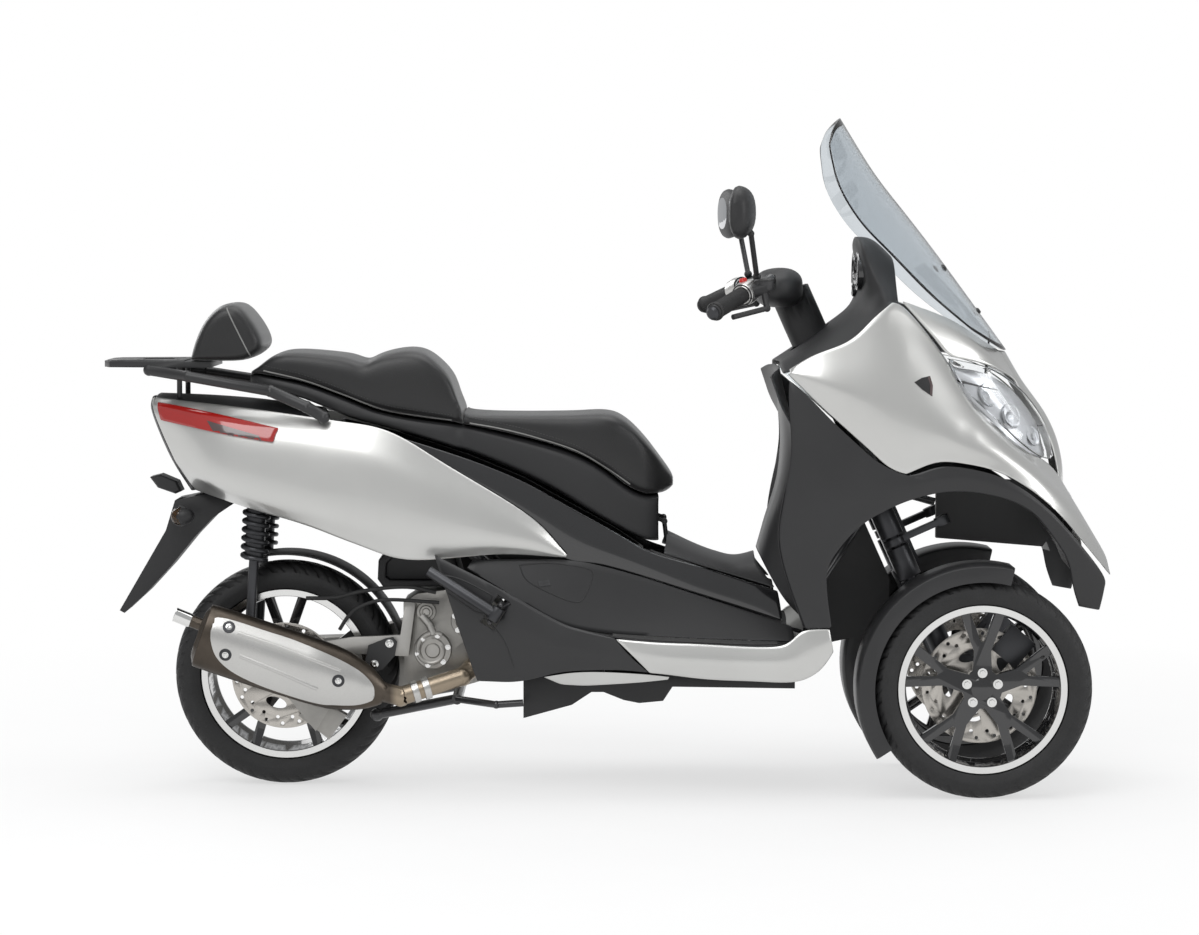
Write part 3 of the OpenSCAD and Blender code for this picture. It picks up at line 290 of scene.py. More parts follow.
def refine(node, paint, slot, level=2, fold=38.0, crease=0.85):
    """Smooth copy of a panel whose surface still passes through the CAD points."""
    bm = merged(node)
    bmesh.ops.join_triangles(bm, faces=bm.faces[:], angle_face_threshold=math.radians(40),
                             angle_shape_threshold=math.radians(80), topology_influence=1.0)
    hold = bm.edges.layers.float.new("crease_edge")
    for e in bm.edges:
        if len(e.link_faces) != 2 or e.calc_face_angle(0.0) > math.radians(fold):
            e[hold] = crease
    mesh = bpy.data.meshes.new(node)
    bm.to_mesh(mesh)
    bm.free()
    obj = link(node + "_cage", mesh)
    smooth = obj.modifiers.new("smooth", "SUBSURF")
    smooth.levels = smooth.render_levels = level
    rest = places(mesh)
    cage = rest.copy()
    for _ in range(2):
        trial = baked(obj)
        cage += 0.9 * (rest - places(trial)[: len(rest)])
        bpy.data.meshes.remove(trial)
        mesh.vertices.foreach_set("co", cage)
        mesh.update()
    done = baked(obj)
    drop(obj)
    return piece(node + "_skin", done, paint, BODY_OF[node], slot, node, sharp=42.0)


def dress(node, paint, slot, bevel=1.2):
    """Copy of a machined or moulded node with softened edges."""
    bm = merged(node)
    bmesh.ops.dissolve_limit(bm, angle_limit=math.radians(1.0), verts=bm.verts[:], edges=bm.edges[:])
    mesh = bpy.data.meshes.new(node)
    bm.to_mesh(mesh)
    bm.free()
    obj = link(node + "_cage", mesh)
    if bevel:
        soft = obj.modifiers.new("soft", "BEVEL")
        soft.width = bevel * MM
        soft.segments = 2
        soft.limit_method = "ANGLE"
        soft.angle_limit = math.radians(40)
    done = baked(obj)
    drop(obj)
    return piece(node + "_form", done, paint, BODY_OF[node], slot, node, sharp=33.0)


def curve_through(points, step):
    """Even points, about a step apart, on a smooth line through the given ones."""
    p = [Vector(q) for q in points]
    p = [2 * p[0] - p[1]] + p + [2 * p[-1] - p[-2]]
    out = []
    for a, b, c, d in zip(p, p[1:], p[2:], p[3:]):
        n = max(1, round((c - b).length / step))
        for k in range(n):
            t = k / n
            out.append(0.5 * (2 * b + (c - a) * t + (2 * a - 5 * b + 4 * c - d) * t * t
                              + (3 * b - a - 3 * c + d) * t ** 3))
    return out + [p[-2]]


def tube(bm, points, radius, sides=10, taper=None):
    """Round closed bar along points in metres."""
    p = [Vector(q) for q in points]
    lead = None
    rings = []
    for i, q in enumerate(p):
        way = (p[min(i + 1, len(p) - 1)] - p[max(i - 1, 0)]).normalized()
        if lead is None:
            lead = way.orthogonal().normalized()
        lead = (lead - way * lead.dot(way)).normalized()
        side = way.cross(lead)
        r = radius * (taper[i] if taper else 1.0)
        rings.append([bm.verts.new(q + r * (math.cos(a) * lead + math.sin(a) * side))
                      for a in (2 * math.pi * k / sides for k in range(sides))])
    for a, b in zip(rings, rings[1:]):
        for k in range(sides):
            bm.faces.new((a[k], a[(k + 1) % sides], b[(k + 1) % sides], b[k]))
    bm.faces.new(rings[0][::-1])
    bm.faces.new(rings[-1])


def lathe(bm, profile, centre, axis, sides=48):
    """Turned shape from (radius, place along the axis) in millimetres, closed on the axis or end to end."""
    way = Vector(axis).normalized()
    lead = way.orthogonal().normalized()
    side = way.cross(lead)
    rows = []
    for r, a in profile:
        if r < 1e-6:
            rows.append([bm.verts.new(mm(*centre) + way * a * MM)])
        else:
            rows.append([bm.verts.new(mm(*centre) + way * a * MM
                                      + r * MM * (math.cos(t) * lead + math.sin(t) * side))
                         for t in (2 * math.pi * k / sides for k in range(sides))])
    if len(rows[0]) > 1 and len(rows[-1]) > 1:
        rows.append(rows[0])
    for a, b in zip(rows, rows[1:]):
        for k in range(sides):
            j = (k + 1) % sides
            if len(a) == 1:
                bm.faces.new((a[0], b[j], b[k]))
            elif len(b) == 1:
                bm.faces.new((a[k], a[j], b[0]))
            else:
                bm.faces.new((a[k], a[j], b[j], b[k]))


def closed(bm):
    bmesh.ops.recalc_face_normals(bm, faces=bm.faces[:])
    return bm


LOOKS = {
    "side": lambda a, b, s: (mm(a, 900 * s, b), Vector((0, -s, 0))),
    "rear": lambda a, b, s: (mm(-1600, a * s, b), Vector((1, 0, 0))),
    "front": lambda a, b, s: (mm(1600, a * s, b), Vector((-1, 0, 0))),
    "top": lambda a, b, s: (mm(a, b * s, 2000), Vector((0, 0, -1))),
}


class Skin:
    """Finds the outer surface of finished pieces, looked at from one side."""

    def __init__(self, *objs, look="side"):
        bm = bmesh.new()
        for o in objs:
            bm.from_mesh(o.data)
        self.tree = BVHTree.FromBMesh(bm)
        self.look = LOOKS[look]
        bm.free()

    def at(self, a, b, s):
        start, way = self.look(a, b, s)
        hit = self.tree.ray_cast(start, way)
        if hit[0] is None:
            return None, None
        return hit[0], hit[1] if hit[1].dot(way) < 0 else -hit[1]

    def line(self, path, s, lift, step=6.0):
        out = []
        for q in curve_through([(a, 0, b) for a, b in path], step):
            place, way = self.at(q.x, q.z, s)
            if place:
                out.append(place + way * lift * MM)
        return out

    def bead(self, bm, path, s, radius, lift=0.0, step=6.0, sides=8):
        points = self.line(path, s, lift, step)
        if len(points) > 1:
            tube(bm, points, radius * MM, sides)
        return points

    def patch(self, bm, outline, s, low, high, step=8.0):
        """Plate laid on the surface inside an outline, from low to high above it."""
        flat = bmesh.new()
        flat.faces.new([flat.verts.new((a, 0, b)) for a, b in outline])
        for _ in range(7):
            bmesh.ops.triangulate(flat, faces=flat.faces[:])
            long = [e for e in flat.edges if e.calc_length() > step]
            if not long:
                break
            bmesh.ops.subdivide_edges(flat, edges=long, cuts=1)
        bmesh.ops.triangulate(flat, faces=flat.faces[:])
        spots = {v: self.at(v.co.x, v.co.z, s) for v in flat.verts}
        bmesh.ops.delete(flat, geom=[v for v, q in spots.items() if q[0] is None], context="VERTS")
        lower = {v: q for v, q in spots.items() if v.is_valid}
        index = {v: i for i, v in enumerate(lower)}
        faces = [[index[v] for v in f.verts] for f in flat.faces]
        rim = [(index[e.verts[0]], index[e.verts[1]]) for e in flat.edges if len(e.link_faces) == 1]
        flat.free()
        down = [bm.verts.new(q + w * low * MM) for q, w in lower.values()]
        up = [bm.verts.new(q + w * high * MM) for q, w in lower.values()]
        made = []
        for f in faces:
            made.append(bm.faces.new([up[i] for i in f]))
            made.append(bm.faces.new([down[i] for i in f][::-1]))
        for i, j in rim:
            made.append(bm.faces.new((down[i], down[j], up[j], up[i])))
        bmesh.ops.recalc_face_normals(bm, faces=made)


# ---------- what repeats: Geometry Nodes

def node_tree(name, sizes):
    tree = bpy.data.node_groups.new(name, "GeometryNodeTree")
    tree.interface.new_socket(name="Geometry", in_out="INPUT", socket_type="NodeSocketGeometry")
    tree.interface.new_socket(name="Geometry", in_out="OUTPUT", socket_type="NodeSocketGeometry")
    ids = {}
    for label, kind in sizes.items():
        ids[label] = tree.interface.new_socket(name=label, in_out="INPUT",
                                               socket_type="NodeSocket" + kind).identifier
    return tree, tree.nodes.new("NodeGroupInput"), tree.nodes.new("NodeGroupOutput"), ids


def join(tree, *pairs):
    for a, b in pairs:
        tree.links.new(a, b)


def ending(tree, given, out, geometry):
    real = tree.nodes.new("GeometryNodeRealizeInstances")
    paint = tree.nodes.new("GeometryNodeSetMaterial")
    join(tree, (geometry, real.inputs[0]), (real.outputs[0], paint.inputs["Geometry"]),
         (given.outputs["Finish"], paint.inputs["Material"]), (paint.outputs[0], out.inputs[0]))


def times(tree, share):
    n = tree.nodes.new("ShaderNodeMath")
    n.operation = "MULTIPLY"
    n.inputs[1].default_value = share
    return n


def bolt_ring_tree():
    """Bolts on a circle: a six-sided head on a round washer."""
    tree, given, out, ids = node_tree("bolt_ring", {"Count": "Int", "Circle": "Float", "Head": "Float",
                                                    "Height": "Float", "Finish": "Material"})
    circle = tree.nodes.new("GeometryNodeMeshCircle")
    head = tree.nodes.new("GeometryNodeMeshCone")
    head.inputs["Vertices"].default_value = 6
    washer = tree.nodes.new("GeometryNodeMeshCylinder")
    washer.inputs["Vertices"].default_value = 16
    wide, thin, top = (times(tree, share) for share in (1.45, 0.5, 0.86))
    both = tree.nodes.new("GeometryNodeJoinGeometry")
    copies = tree.nodes.new("GeometryNodeInstanceOnPoints")
    join(tree, (given.outputs["Count"], circle.inputs["Vertices"]),
         (given.outputs["Circle"], circle.inputs["Radius"]),
         (given.outputs["Head"], head.inputs["Radius Bottom"]), (given.outputs["Head"], top.inputs[0]),
         (top.outputs[0], head.inputs["Radius Top"]), (given.outputs["Height"], head.inputs["Depth"]),
         (given.outputs["Head"], wide.inputs[0]), (wide.outputs[0], washer.inputs["Radius"]),
         (given.outputs["Height"], thin.inputs[0]), (thin.outputs[0], washer.inputs["Depth"]),
         (head.outputs[0], both.inputs[0]), (washer.outputs[0], both.inputs[0]),
         (circle.outputs[0], copies.inputs["Points"]), (both.outputs[0], copies.inputs["Instance"]))
    ending(tree, given, out, copies.outputs[0])
    return tree, ids


def coil_tree():
    """Coil spring of round wire."""
    tree, given, out, ids = node_tree("coil", {"Turns": "Float", "Radius": "Float", "Length": "Float",
                                               "Wire": "Float", "Finish": "Material"})
    path = tree.nodes.new("GeometryNodeCurveSpiral")
    path.inputs["Resolution"].default_value = 24
    wire = tree.nodes.new("GeometryNodeCurvePrimitiveCircle")
    wire.inputs["Resolution"].default_value = 10
    sweep = tree.nodes.new("GeometryNodeCurveToMesh")
    sweep.inputs["Fill Caps"].default_value = True
    join(tree, (given.outputs["Turns"], path.inputs["Rotations"]),
         (given.outputs["Radius"], path.inputs["Start Radius"]),
         (given.outputs["Radius"], path.inputs["End Radius"]),
         (given.outputs["Length"], path.inputs["Height"]),
         (given.outputs["Wire"], wire.inputs["Radius"]), (path.outputs[0], sweep.inputs["Curve"]),
         (wire.outputs[0], sweep.inputs["Profile Curve"]))
    ending(tree, given, out, sweep.outputs[0])
    return tree, ids


def row_tree(name, shape):
    """Stitches or ribs set out along a drawn line, turned along it."""
    tree, given, out, ids = node_tree(name, {"Spacing": "Float", "Size": "Vector", "Finish": "Material"})
    even = tree.nodes.new("GeometryNodeResampleCurve")
    even.mode = "LENGTH"
    way = tree.nodes.new("GeometryNodeInputTangent")
    turn = tree.nodes.new("FunctionNodeAlignRotationToVector")
    turn.axis = "X"
    copies = tree.nodes.new("GeometryNodeInstanceOnPoints")
    if shape == "stitch":
        unit = tree.nodes.new("GeometryNodeMeshUVSphere")
        unit.inputs["Segments"].default_value = 8
        unit.inputs["Rings"].default_value = 5
        unit.inputs["Radius"].default_value = 0.5
    else:
        unit = tree.nodes.new("GeometryNodeMeshCube")
    join(tree, (given.outputs["Geometry"], even.inputs["Curve"]),
         (given.outputs["Spacing"], even.inputs["Length"]),
         (even.outputs[0], copies.inputs["Points"]), (unit.outputs[0], copies.inputs["Instance"]),
         (way.outputs[0], turn.inputs["Vector"]), (turn.outputs[0], copies.inputs["Rotation"]),
         (given.outputs["Size"], copies.inputs["Scale"]))
    ending(tree, given, out, copies.outputs[0])
    return tree, ids


BOLTS = bolt_ring_tree()
COIL = coil_tree()
STITCHES = row_tree("stitch_row", "stitch")
RIBS = row_tree("rib_row", "rib")


def grown(kit, values, base=None):
    """Plain mesh from a node tree, its sizes set by socket identifier."""
    tree, ids = kit
    base = base or link("seed", bpy.data.meshes.new("seed"))
    grow = base.modifiers.new("grow", "NODES")
    grow.node_group = tree
    for label, value in values.items():
        grow[ids[label]] = value
    mesh = baked(base)
    base.modifiers.remove(grow)
    drop(base)
    return mesh


def set_out(mesh, spots):
    """Copies of a mesh at each place, joined in one shape."""
    bm = bmesh.new()
    for spot in spots:
        new = mesh.copy()
        new.transform(spot)
        if spot.determinant() < 0:
            new.flip_normals()
        bm.from_mesh(new)
        bpy.data.meshes.remove(new)
    bpy.data.meshes.remove(mesh)
    return bm


def facing(place, axis, spin=0.0):
    """Placement whose own Z points along an axis, at a place in millimetres."""
    turn = Vector((0, 0, 1)).rotation_difference(Vector(axis)).to_matrix().to_4x4()
    return Matrix.Translation(mm(*place)) @ turn @ Matrix.Rotation(math.radians(spin), 4, "Z")


def bolts(name, spots, paint, body, slot, head=5.0, height=5.0, count=1, circle=0.0):
    mesh = grown(BOLTS, {"Count": max(3, count), "Circle": circle * MM, "Head": head * MM,
                         "Height": height * MM,
                         "Finish": paint}) if count > 1 else single_bolt(head, height)
    return piece(name, set_out(mesh, spots), paint, body, slot, sharp=28.0)


def single_bolt(head, height):
    bm = bmesh.new()
    lathe(bm, [(0, -height / 2), (head * 1.35, -height / 2), (head * 1.35, 0), (head, height * 0.1),
               (head * 0.92, height / 2), (head * 0.6, height * 0.6), (head * 0.5, height * 0.25),
               (0, height * 0.2)],
          (0, 0, 0), (0, 0, 1), 14)
    mesh = bpy.data.meshes.new("bolt")
    closed(bm).to_mesh(mesh)
    bm.free()
    return mesh


def row(kit, points, spacing, size, paint):
    """Stitches or ribs along points in metres."""
    path = bpy.data.curves.new("path", "CURVE")
    path.dimensions = "3D"
    line = path.splines.new("POLY")
    line.points.add(len(points) - 1)
    for spot, q in zip(line.points, points):
        spot.co = (*q, 1.0)
    base = link("path", path)
    return grown(kit, {"Spacing": spacing * MM, "Size": tuple(v * MM for v in size), "Finish": paint}, base)


def add_mesh(bm, mesh):
    bm.from_mesh(mesh)
    bpy.data.meshes.remove(mesh)


# ---------- body panels

set_camera()

fairing = refine("front_fairing", SILVER, "silver_paint")
refine("nose_hood", SILVER, "silver_paint")
refine("arch_panels", SATIN, "dark_plastic")
screen = refine("windscreen", TINT, "screen_tint")
dash = refine("dashboard", PLASTIC, "black_plastic")
refine("leg_shield", SATIN, "dark_plastic")
refine("tunnel_cover", SATIN, "dark_plastic", fold=30.0)
tunnel_sides = refine("tunnel_sides", SATIN, "dark_plastic")
refine("seat_surround", GLOSS, "black_gloss")
floor_pans = refine("footboards", PLASTIC, "black_plastic")
refine("sills", SILVER, "silver_paint")
belly = refine("belly_panels", SATIN, "dark_plastic", fold=30.0)
refine("tail_panels", SILVER, "silver_paint")
refine("tail_cover", PLASTIC, "black_plastic")
refine("front_grille", PLASTIC, "black_plastic")
refine("handlebar_cover", PLASTIC, "black_plastic", level=1, fold=30.0)
mirror_cases = refine("mirrors", PLASTIC, "black_plastic", level=1, fold=30.0)
refine("exhaust", PIPE, "exhaust_metal", fold=50.0)
lamp_glass = refine("headlamps", CLEAR, "lamp_clear")
refine("seat_base", PLASTIC, "black_plastic", fold=50.0)
rider_pad = refine("rider_seat", LEATHER, "seat_cover", level=3, fold=80.0)
pillion_pad = refine("passenger_seat", LEATHER, "seat_cover", level=3, fold=80.0)
back_pad = refine("backrest", LEATHER, "seat_cover", level=3, fold=80.0)
tail_glass = refine("tail_lamps", RUBY, "lamp_red")

for name, paint, slot, bevel in (
        ("frame_head", FRAME_PAINT, "frame_paint", 0), ("frame_cradle", FRAME_PAINT, "frame_paint", 0),
        ("frame_rear_right", FRAME_PAINT, "frame_paint", 0),
        ("frame_rear_left", FRAME_PAINT, "frame_paint", 0),
        ("tilt_linkage", DARK_METAL, "dark_metal", 1.5), ("air_box", PLASTIC, "black_plastic", 3.0),
        ("arch_liner", PLASTIC, "black_plastic", 0), ("under_tray", PLASTIC, "black_plastic", 1.0),
        ("rack", SATIN, "dark_plastic", 2.5), ("underseat_tub", PLASTIC, "black_plastic", 0.8),
        ("engine", CAST, "cast_metal", 2.5), ("transmission", CAST, "cast_metal", 3.0),
        ("rear_arm", CAST, "cast_metal", 2.5), ("rear_shocks", DARK_METAL, "dark_metal", 1.0),
        ("rear_hugger", PLASTIC, "black_plastic", 0.8), ("plate_bracket", PLASTIC, "black_plastic", 1.2),
        ("handlebar", FRAME_PAINT, "frame_paint", 0), ("controls", PLASTIC, "black_plastic", 1.2),
        ("centre_stand", FRAME_PAINT, "frame_paint", 0), ("footpeg_right", DARK_METAL, "dark_metal", 1.5),
        ("footpeg_left", DARK_METAL, "dark_metal", 1.5), ("knuckle_right", DARK_METAL, "dark_metal", 1.5),
        ("knuckle_left", DARK_METAL, "dark_metal", 1.5), ("mudguard_right", SATIN, "dark_plastic", 0.6),
        ("mudguard_left", SATIN, "dark_plastic", 0.6), ("rim_front_right", GLOSS, "black_gloss", 2.0),
        ("rim_front_left", GLOSS, "black_gloss", 2.0), ("rim_rear", GLOSS, "black_gloss", 2.0),
        ("disc_front_right", STEEL, "disc_steel", 0.4), ("disc_front_left", STEEL, "disc_steel", 0.4),
        ("disc_rear", STEEL, "disc_steel", 0.4)):
    dress(name, paint, slot, bevel)


# ---------- wheels

# pitches of tread round a tyre, depth of its grooves and of its fine cuts
PITCHES, GROOVE, SIPE = 28, 6.0, 3.0


def tyre(node, centre, r, w, lip_r, rim_w):
    """Tyre with slanted tread grooves, shoulder lines and rim beads."""
    seat, bead, across, around = lip_r - 9.7, rim_w / 2 - 9.4, 44, 504
    c = (r - seat) * 0.56
    section = []
    for k in range(across + 1):
        a = math.radians(-90 + 180 * k / across)
        u = math.copysign(abs(math.sin(a)) ** 0.62, a)
        section.append((r - c + c * abs(math.cos(a)) ** 0.75, w / 2 * u, u))
    inner = [(seat + 12, w / 2 - 8), (seat + 11, bead), (seat, bead), (seat, -bead), (seat + 11, -bead),
             (seat + 12, 8 - w / 2)]
    bm = bmesh.new()
    rows = []
    for k in range(around):
        t = k / around
        ring = []
        for rad, y, u in section:
            phase = (t * PITCHES + (0.5 if u > 0 else 0.0) + 1.15 * abs(u) ** 1.3) % 1.0
            cut = max(0.0, 1 - ((phase - 0.5) / 0.105) ** 2) if 0.1 < abs(u) < 0.955 else 0.0
            fine = max(0.0, 1 - (((phase + 0.42) % 1.0 - 0.5) / 0.05) ** 2) if 0.5 < abs(u) < 0.955 else 0.0
            sink = GROOVE * min(1.0, 2.2 * cut) + SIPE * min(1.0, 2.0 * fine)
            if abs(u) > 0.97:
                sink -= 0.9 * max(0.0, math.cos((rad - seat) * 0.55)) ** 6
            ring.append((rad - sink, y))
        ring += inner
        turn = 2 * math.pi * t
        rows.append([bm.verts.new(mm(centre[0] + q * math.cos(turn), centre[1] + y,
                                     centre[2] + q * math.sin(turn)))
                     for q, y in ring])
    m = len(rows[0])
    for a, b in zip(rows, rows[1:] + rows[:1]):
        for j in range(m):
            bm.faces.new((a[j], a[(j + 1) % m], b[(j + 1) % m], b[j]))
    return piece(node + "_tread", closed(bm), RUBBER, BODY_OF[node], "rubber", node, sharp=50.0)


tyre("tyre_front_right", (FRONT_X, -HALF_TRACK, FRONT_Z), FRONT_R, 110, FRONT_LIP_R, 84)
tyre("tyre_front_left", (FRONT_X, HALF_TRACK, FRONT_Z), FRONT_R, 110, FRONT_LIP_R, 84)
tyre("tyre_rear", (REAR_X, 0, REAR_Z), REAR_R, 140, REAR_LIP_R, 110)


def wheel_trim(name, body, centre, s, lip_r, face, hub, cap_r, lug_r):
    """Bright ring, hub cap, lug bolts and valve on the outer face of a wheel."""
    bm = bmesh.new()
    lathe(bm, [(lip_r - 16, face - 3), (lip_r - 15, face + 0.6), (lip_r - 1, face + 1.2),
               (lip_r + 0.8, face - 1.5), (lip_r - 0.5, face - 5)], centre, (0, s, 0), 96)
    piece(name + "_bright_ring", closed(bm), BRIGHT, body, "disc_steel")
    bm = bmesh.new()
    lathe(bm, [(0, hub + 5), (cap_r * 0.7, hub + 4.2), (cap_r * 0.95, hub + 1.5), (cap_r, hub - 4),
               (0, hub - 4)],
          centre, (0, s, 0), 40)
    piece(name + "_hub_cap", closed(bm), GLOSS, body, "black_gloss")
    spot = facing((centre[0], centre[1] + s * (hub + 0.5), centre[2]), (0, s, 0), 18)
    bolts(name + "_lugs", [spot], BRIGHT, body, "disc_steel", 7.5, 9.0, 5, lug_r)
    bm = bmesh.new()
    spoke = Vector((math.cos(0.5), 0, math.sin(0.5)))
    foot = Vector((centre[0], centre[1] + s * 6, centre[2])) + spoke * (lip_r - 22)
    tube(bm, [foot * MM, (foot + Vector((-8, s * 16, -5))) * MM, (foot + Vector((-14, s * 30, -9))) * MM],
         3.2 * MM, 8)
    piece(name + "_valve", closed(bm), RUBBER, body, "rubber")


for s, word in ((-1, "right"), (1, "left")):
    wheel_trim("wheel_front_" + word, "wheel_front_" + word, (FRONT_X, s * HALF_TRACK, FRONT_Z), s,
               FRONT_LIP_R, 42, 30, 26, 36)
wheel_trim("wheel_rear", "wheel_rear", (REAR_X, 0, REAR_Z), -1, REAR_LIP_R, 55, 82, 24, 34)


# ---------- rear springs

def springs():
    spots = []
    low, high = Vector((-786, 0, 520)), Vector((-776, 0, 684))
    for s in SIDES:
        spots.append(facing((low.x, 118 * s, low.z), (high - low).normalized()))
    mesh = grown(COIL, {"Turns": 8.5, "Radius": 27 * MM, "Length": (high - low).length * MM, "Wire": 5.2 * MM,
                        "Finish": BRIGHT})
    piece("rear_springs", set_out(mesh, spots), DARK_METAL, "chassis", "dark_metal")


springs()


# ---------- lamps

def headlamps():
    """Reflector bowls, lamp cups and bulbs behind the clear glass."""
    bowl = bmesh.new()
    bowl.from_mesh(lamp_glass.data)
    for s in SIDES:
        own = [v for v in bowl.verts if v.co.y * s > 0]
        middle = sum((v.co for v in own), Vector()) / len(own)
        for v in own:
            v.co = middle + (v.co - middle) * 0.93 + Vector((-0.45, -0.85 * s, -0.27)) * 0.026
    piece("headlamp_bowls", bowl, REFLECTOR, "chassis", "lamp_clear")
    cups, bulbs = bmesh.new(), bmesh.new()
    for s in SIDES:
        for x, y, z, r in ((866, 182, 898, 25), (922, 158, 850, 27), (974, 118, 802, 20)):
            way = Vector((0.72, 0.62 * s, 0.32)).normalized()
            place = Vector((x, y * s, z)) - 17 * way
            lathe(cups, [(r * 0.5, -6), (r * 0.8, -4), (r, 3), (r + 2, 4), (r + 2.5, 1), (r * 0.9, -6),
                         (r * 0.55, -8)],
                  place, way, 32)
            lathe(bulbs, [(0, 4), (r * 0.3, 3), (r * 0.48, 0), (r * 0.45, -5), (0, -5)], place, way, 20)
    piece("headlamp_cups", closed(cups), REFLECTOR, "chassis", "lamp_clear")
    piece("headlamp_bulbs", closed(bulbs), CLEAR, "chassis", "lamp_clear")


headlamps()


def tail_details():
    """Smoke half of the tail lamps, indicators and plate lamp."""
    skin = Skin(tail_glass)
    smoke = bmesh.new()
    for s in SIDES:
        skin.patch(smoke, [(-884, 836), (-766, 804), (-757, 790), (-779, 765), (-837, 764)], s, -0.4, 1.0)
    if smoke.faces:
        piece("tail_lamp_smoke", smoke, SMOKE, "chassis", "lamp_red")
    lens, rims = bmesh.new(), bmesh.new()
    for s in SIDES:
        lathe(lens, [(0, 27), (9, 25.5), (16, 20), (20, 11), (20.5, 4), (0, 4)], (-950, 112 * s, 618),
              (-0.35, 0.94 * s, 0), 28)
        lathe(rims, [(20.2, 8), (23, 7), (23.5, 2), (20, 0)], (-950, 112 * s, 618), (-0.35, 0.94 * s, 0), 28)
    piece("rear_indicator_glass", closed(lens), AMBER, "chassis", "lamp_red")
    piece("rear_indicator_rims", closed(rims), SATIN, "chassis", "dark_plastic")
    lamp = bmesh.new()
    outline = [(-1030, 700), (-1006, 706), (-968, 690), (-958, 668), (-972, 662), (-1012, 676)]
    ring = [[lamp.verts.new(mm(x, y, z)) for x, z in outline] for y in (-34, -30, 30, 34)]
    narrow, mid_x, mid_z = 0.82, -0.994, 0.684
    for v in ring[0] + ring[-1]:
        v.co.x = mid_x + (v.co.x - mid_x) * narrow
        v.co.z = mid_z + (v.co.z - mid_z) * narrow
    for a, b in zip(ring, ring[1:]):
        for j in range(len(outline)):
            i = (j + 1) % len(outline)
            lamp.faces.new((a[j], a[i], b[i], b[j]))
    lamp.faces.new(ring[0])
    lamp.faces.new(ring[-1][::-1])
    piece("plate_lamp", closed(lamp), PLASTIC, "chassis", "black_plastic")


tail_details()


# ---------- screen and dash

def screen_fixings():
    skin = Skin(screen)
    spots = []
    for s in SIDES:
        for x, z in ((766, 1175), (849, 1077)):
            place, way = skin.at(x, z, s)
            if place:
                spots.append(facing(tuple(place / MM), way))
    bolts("screen_bolts", spots, SATIN, "chassis", "dark_plastic", 7, 7)


screen_fixings()


def dials():
    """Two round dials and a middle display on the dash."""
    skin = Skin(dash, look="rear")
    rims, faces, marks, glassy = bmesh.new(), bmesh.new(), bmesh.new(), bmesh.new()
    for y, z, r in ((-62, 1168, 40), (62, 1168, 40), (0, 1178, 24), (0, 1128, 16)):
        place, way = skin.at(y, z, 1)
        if place is None:
            continue
        way = (way + Vector((-1, 0, 0.15))).normalized()
        spot = tuple(place / MM + way * 2)
        lathe(rims, [(r - 3, 1), (r - 2, 6), (r + 1, 8), (r + 4, 6), (r + 5, -6), (r - 3, -6)], spot, way, 48)
        lathe(faces, [(0, 2), (r - 2, 2), (r - 2, -3), (0, -3)], spot, way, 48)
        lathe(glassy, [(0, 6.2), (r * 0.6, 5.6), (r - 1.5, 4.6), (r - 1.5, 4.2), (0, 5.6)], spot, way, 48)
        lead = way.orthogonal().normalized()
        side = way.cross(lead)
        arc = [mm(*spot) + way * 2.2 * MM + (r - 7) * MM * (math.cos(a) * lead + math.sin(a) * side)
               for a in (math.radians(20 + 320 * k / 60) for k in range(61))]
        add_mesh(marks, row(RIBS, arc, (r - 7) * 0.19, (1.0, 1.0, 1.0), MARK))
        tip = mm(*spot) + way * 3.0 * MM
        tube(marks, [tip, tip + lead * (r - 10) * MM], 0.7 * MM, 6)
    piece("dial_rims", closed(rims), GLOSS, "chassis", "black_gloss")
    piece("dial_faces", closed(faces), DIAL, "chassis", "black_plastic")
    piece("dial_marks", closed(marks), MARK, "chassis", "black_plastic")
    piece("dial_glass", closed(glassy), CLEAR, "chassis", "lamp_clear")


dials()


# ---------- handlebar

GRIP_IN, GRIP_END = Vector((333, 205, 1132)), Vector((240, 366, 1082))


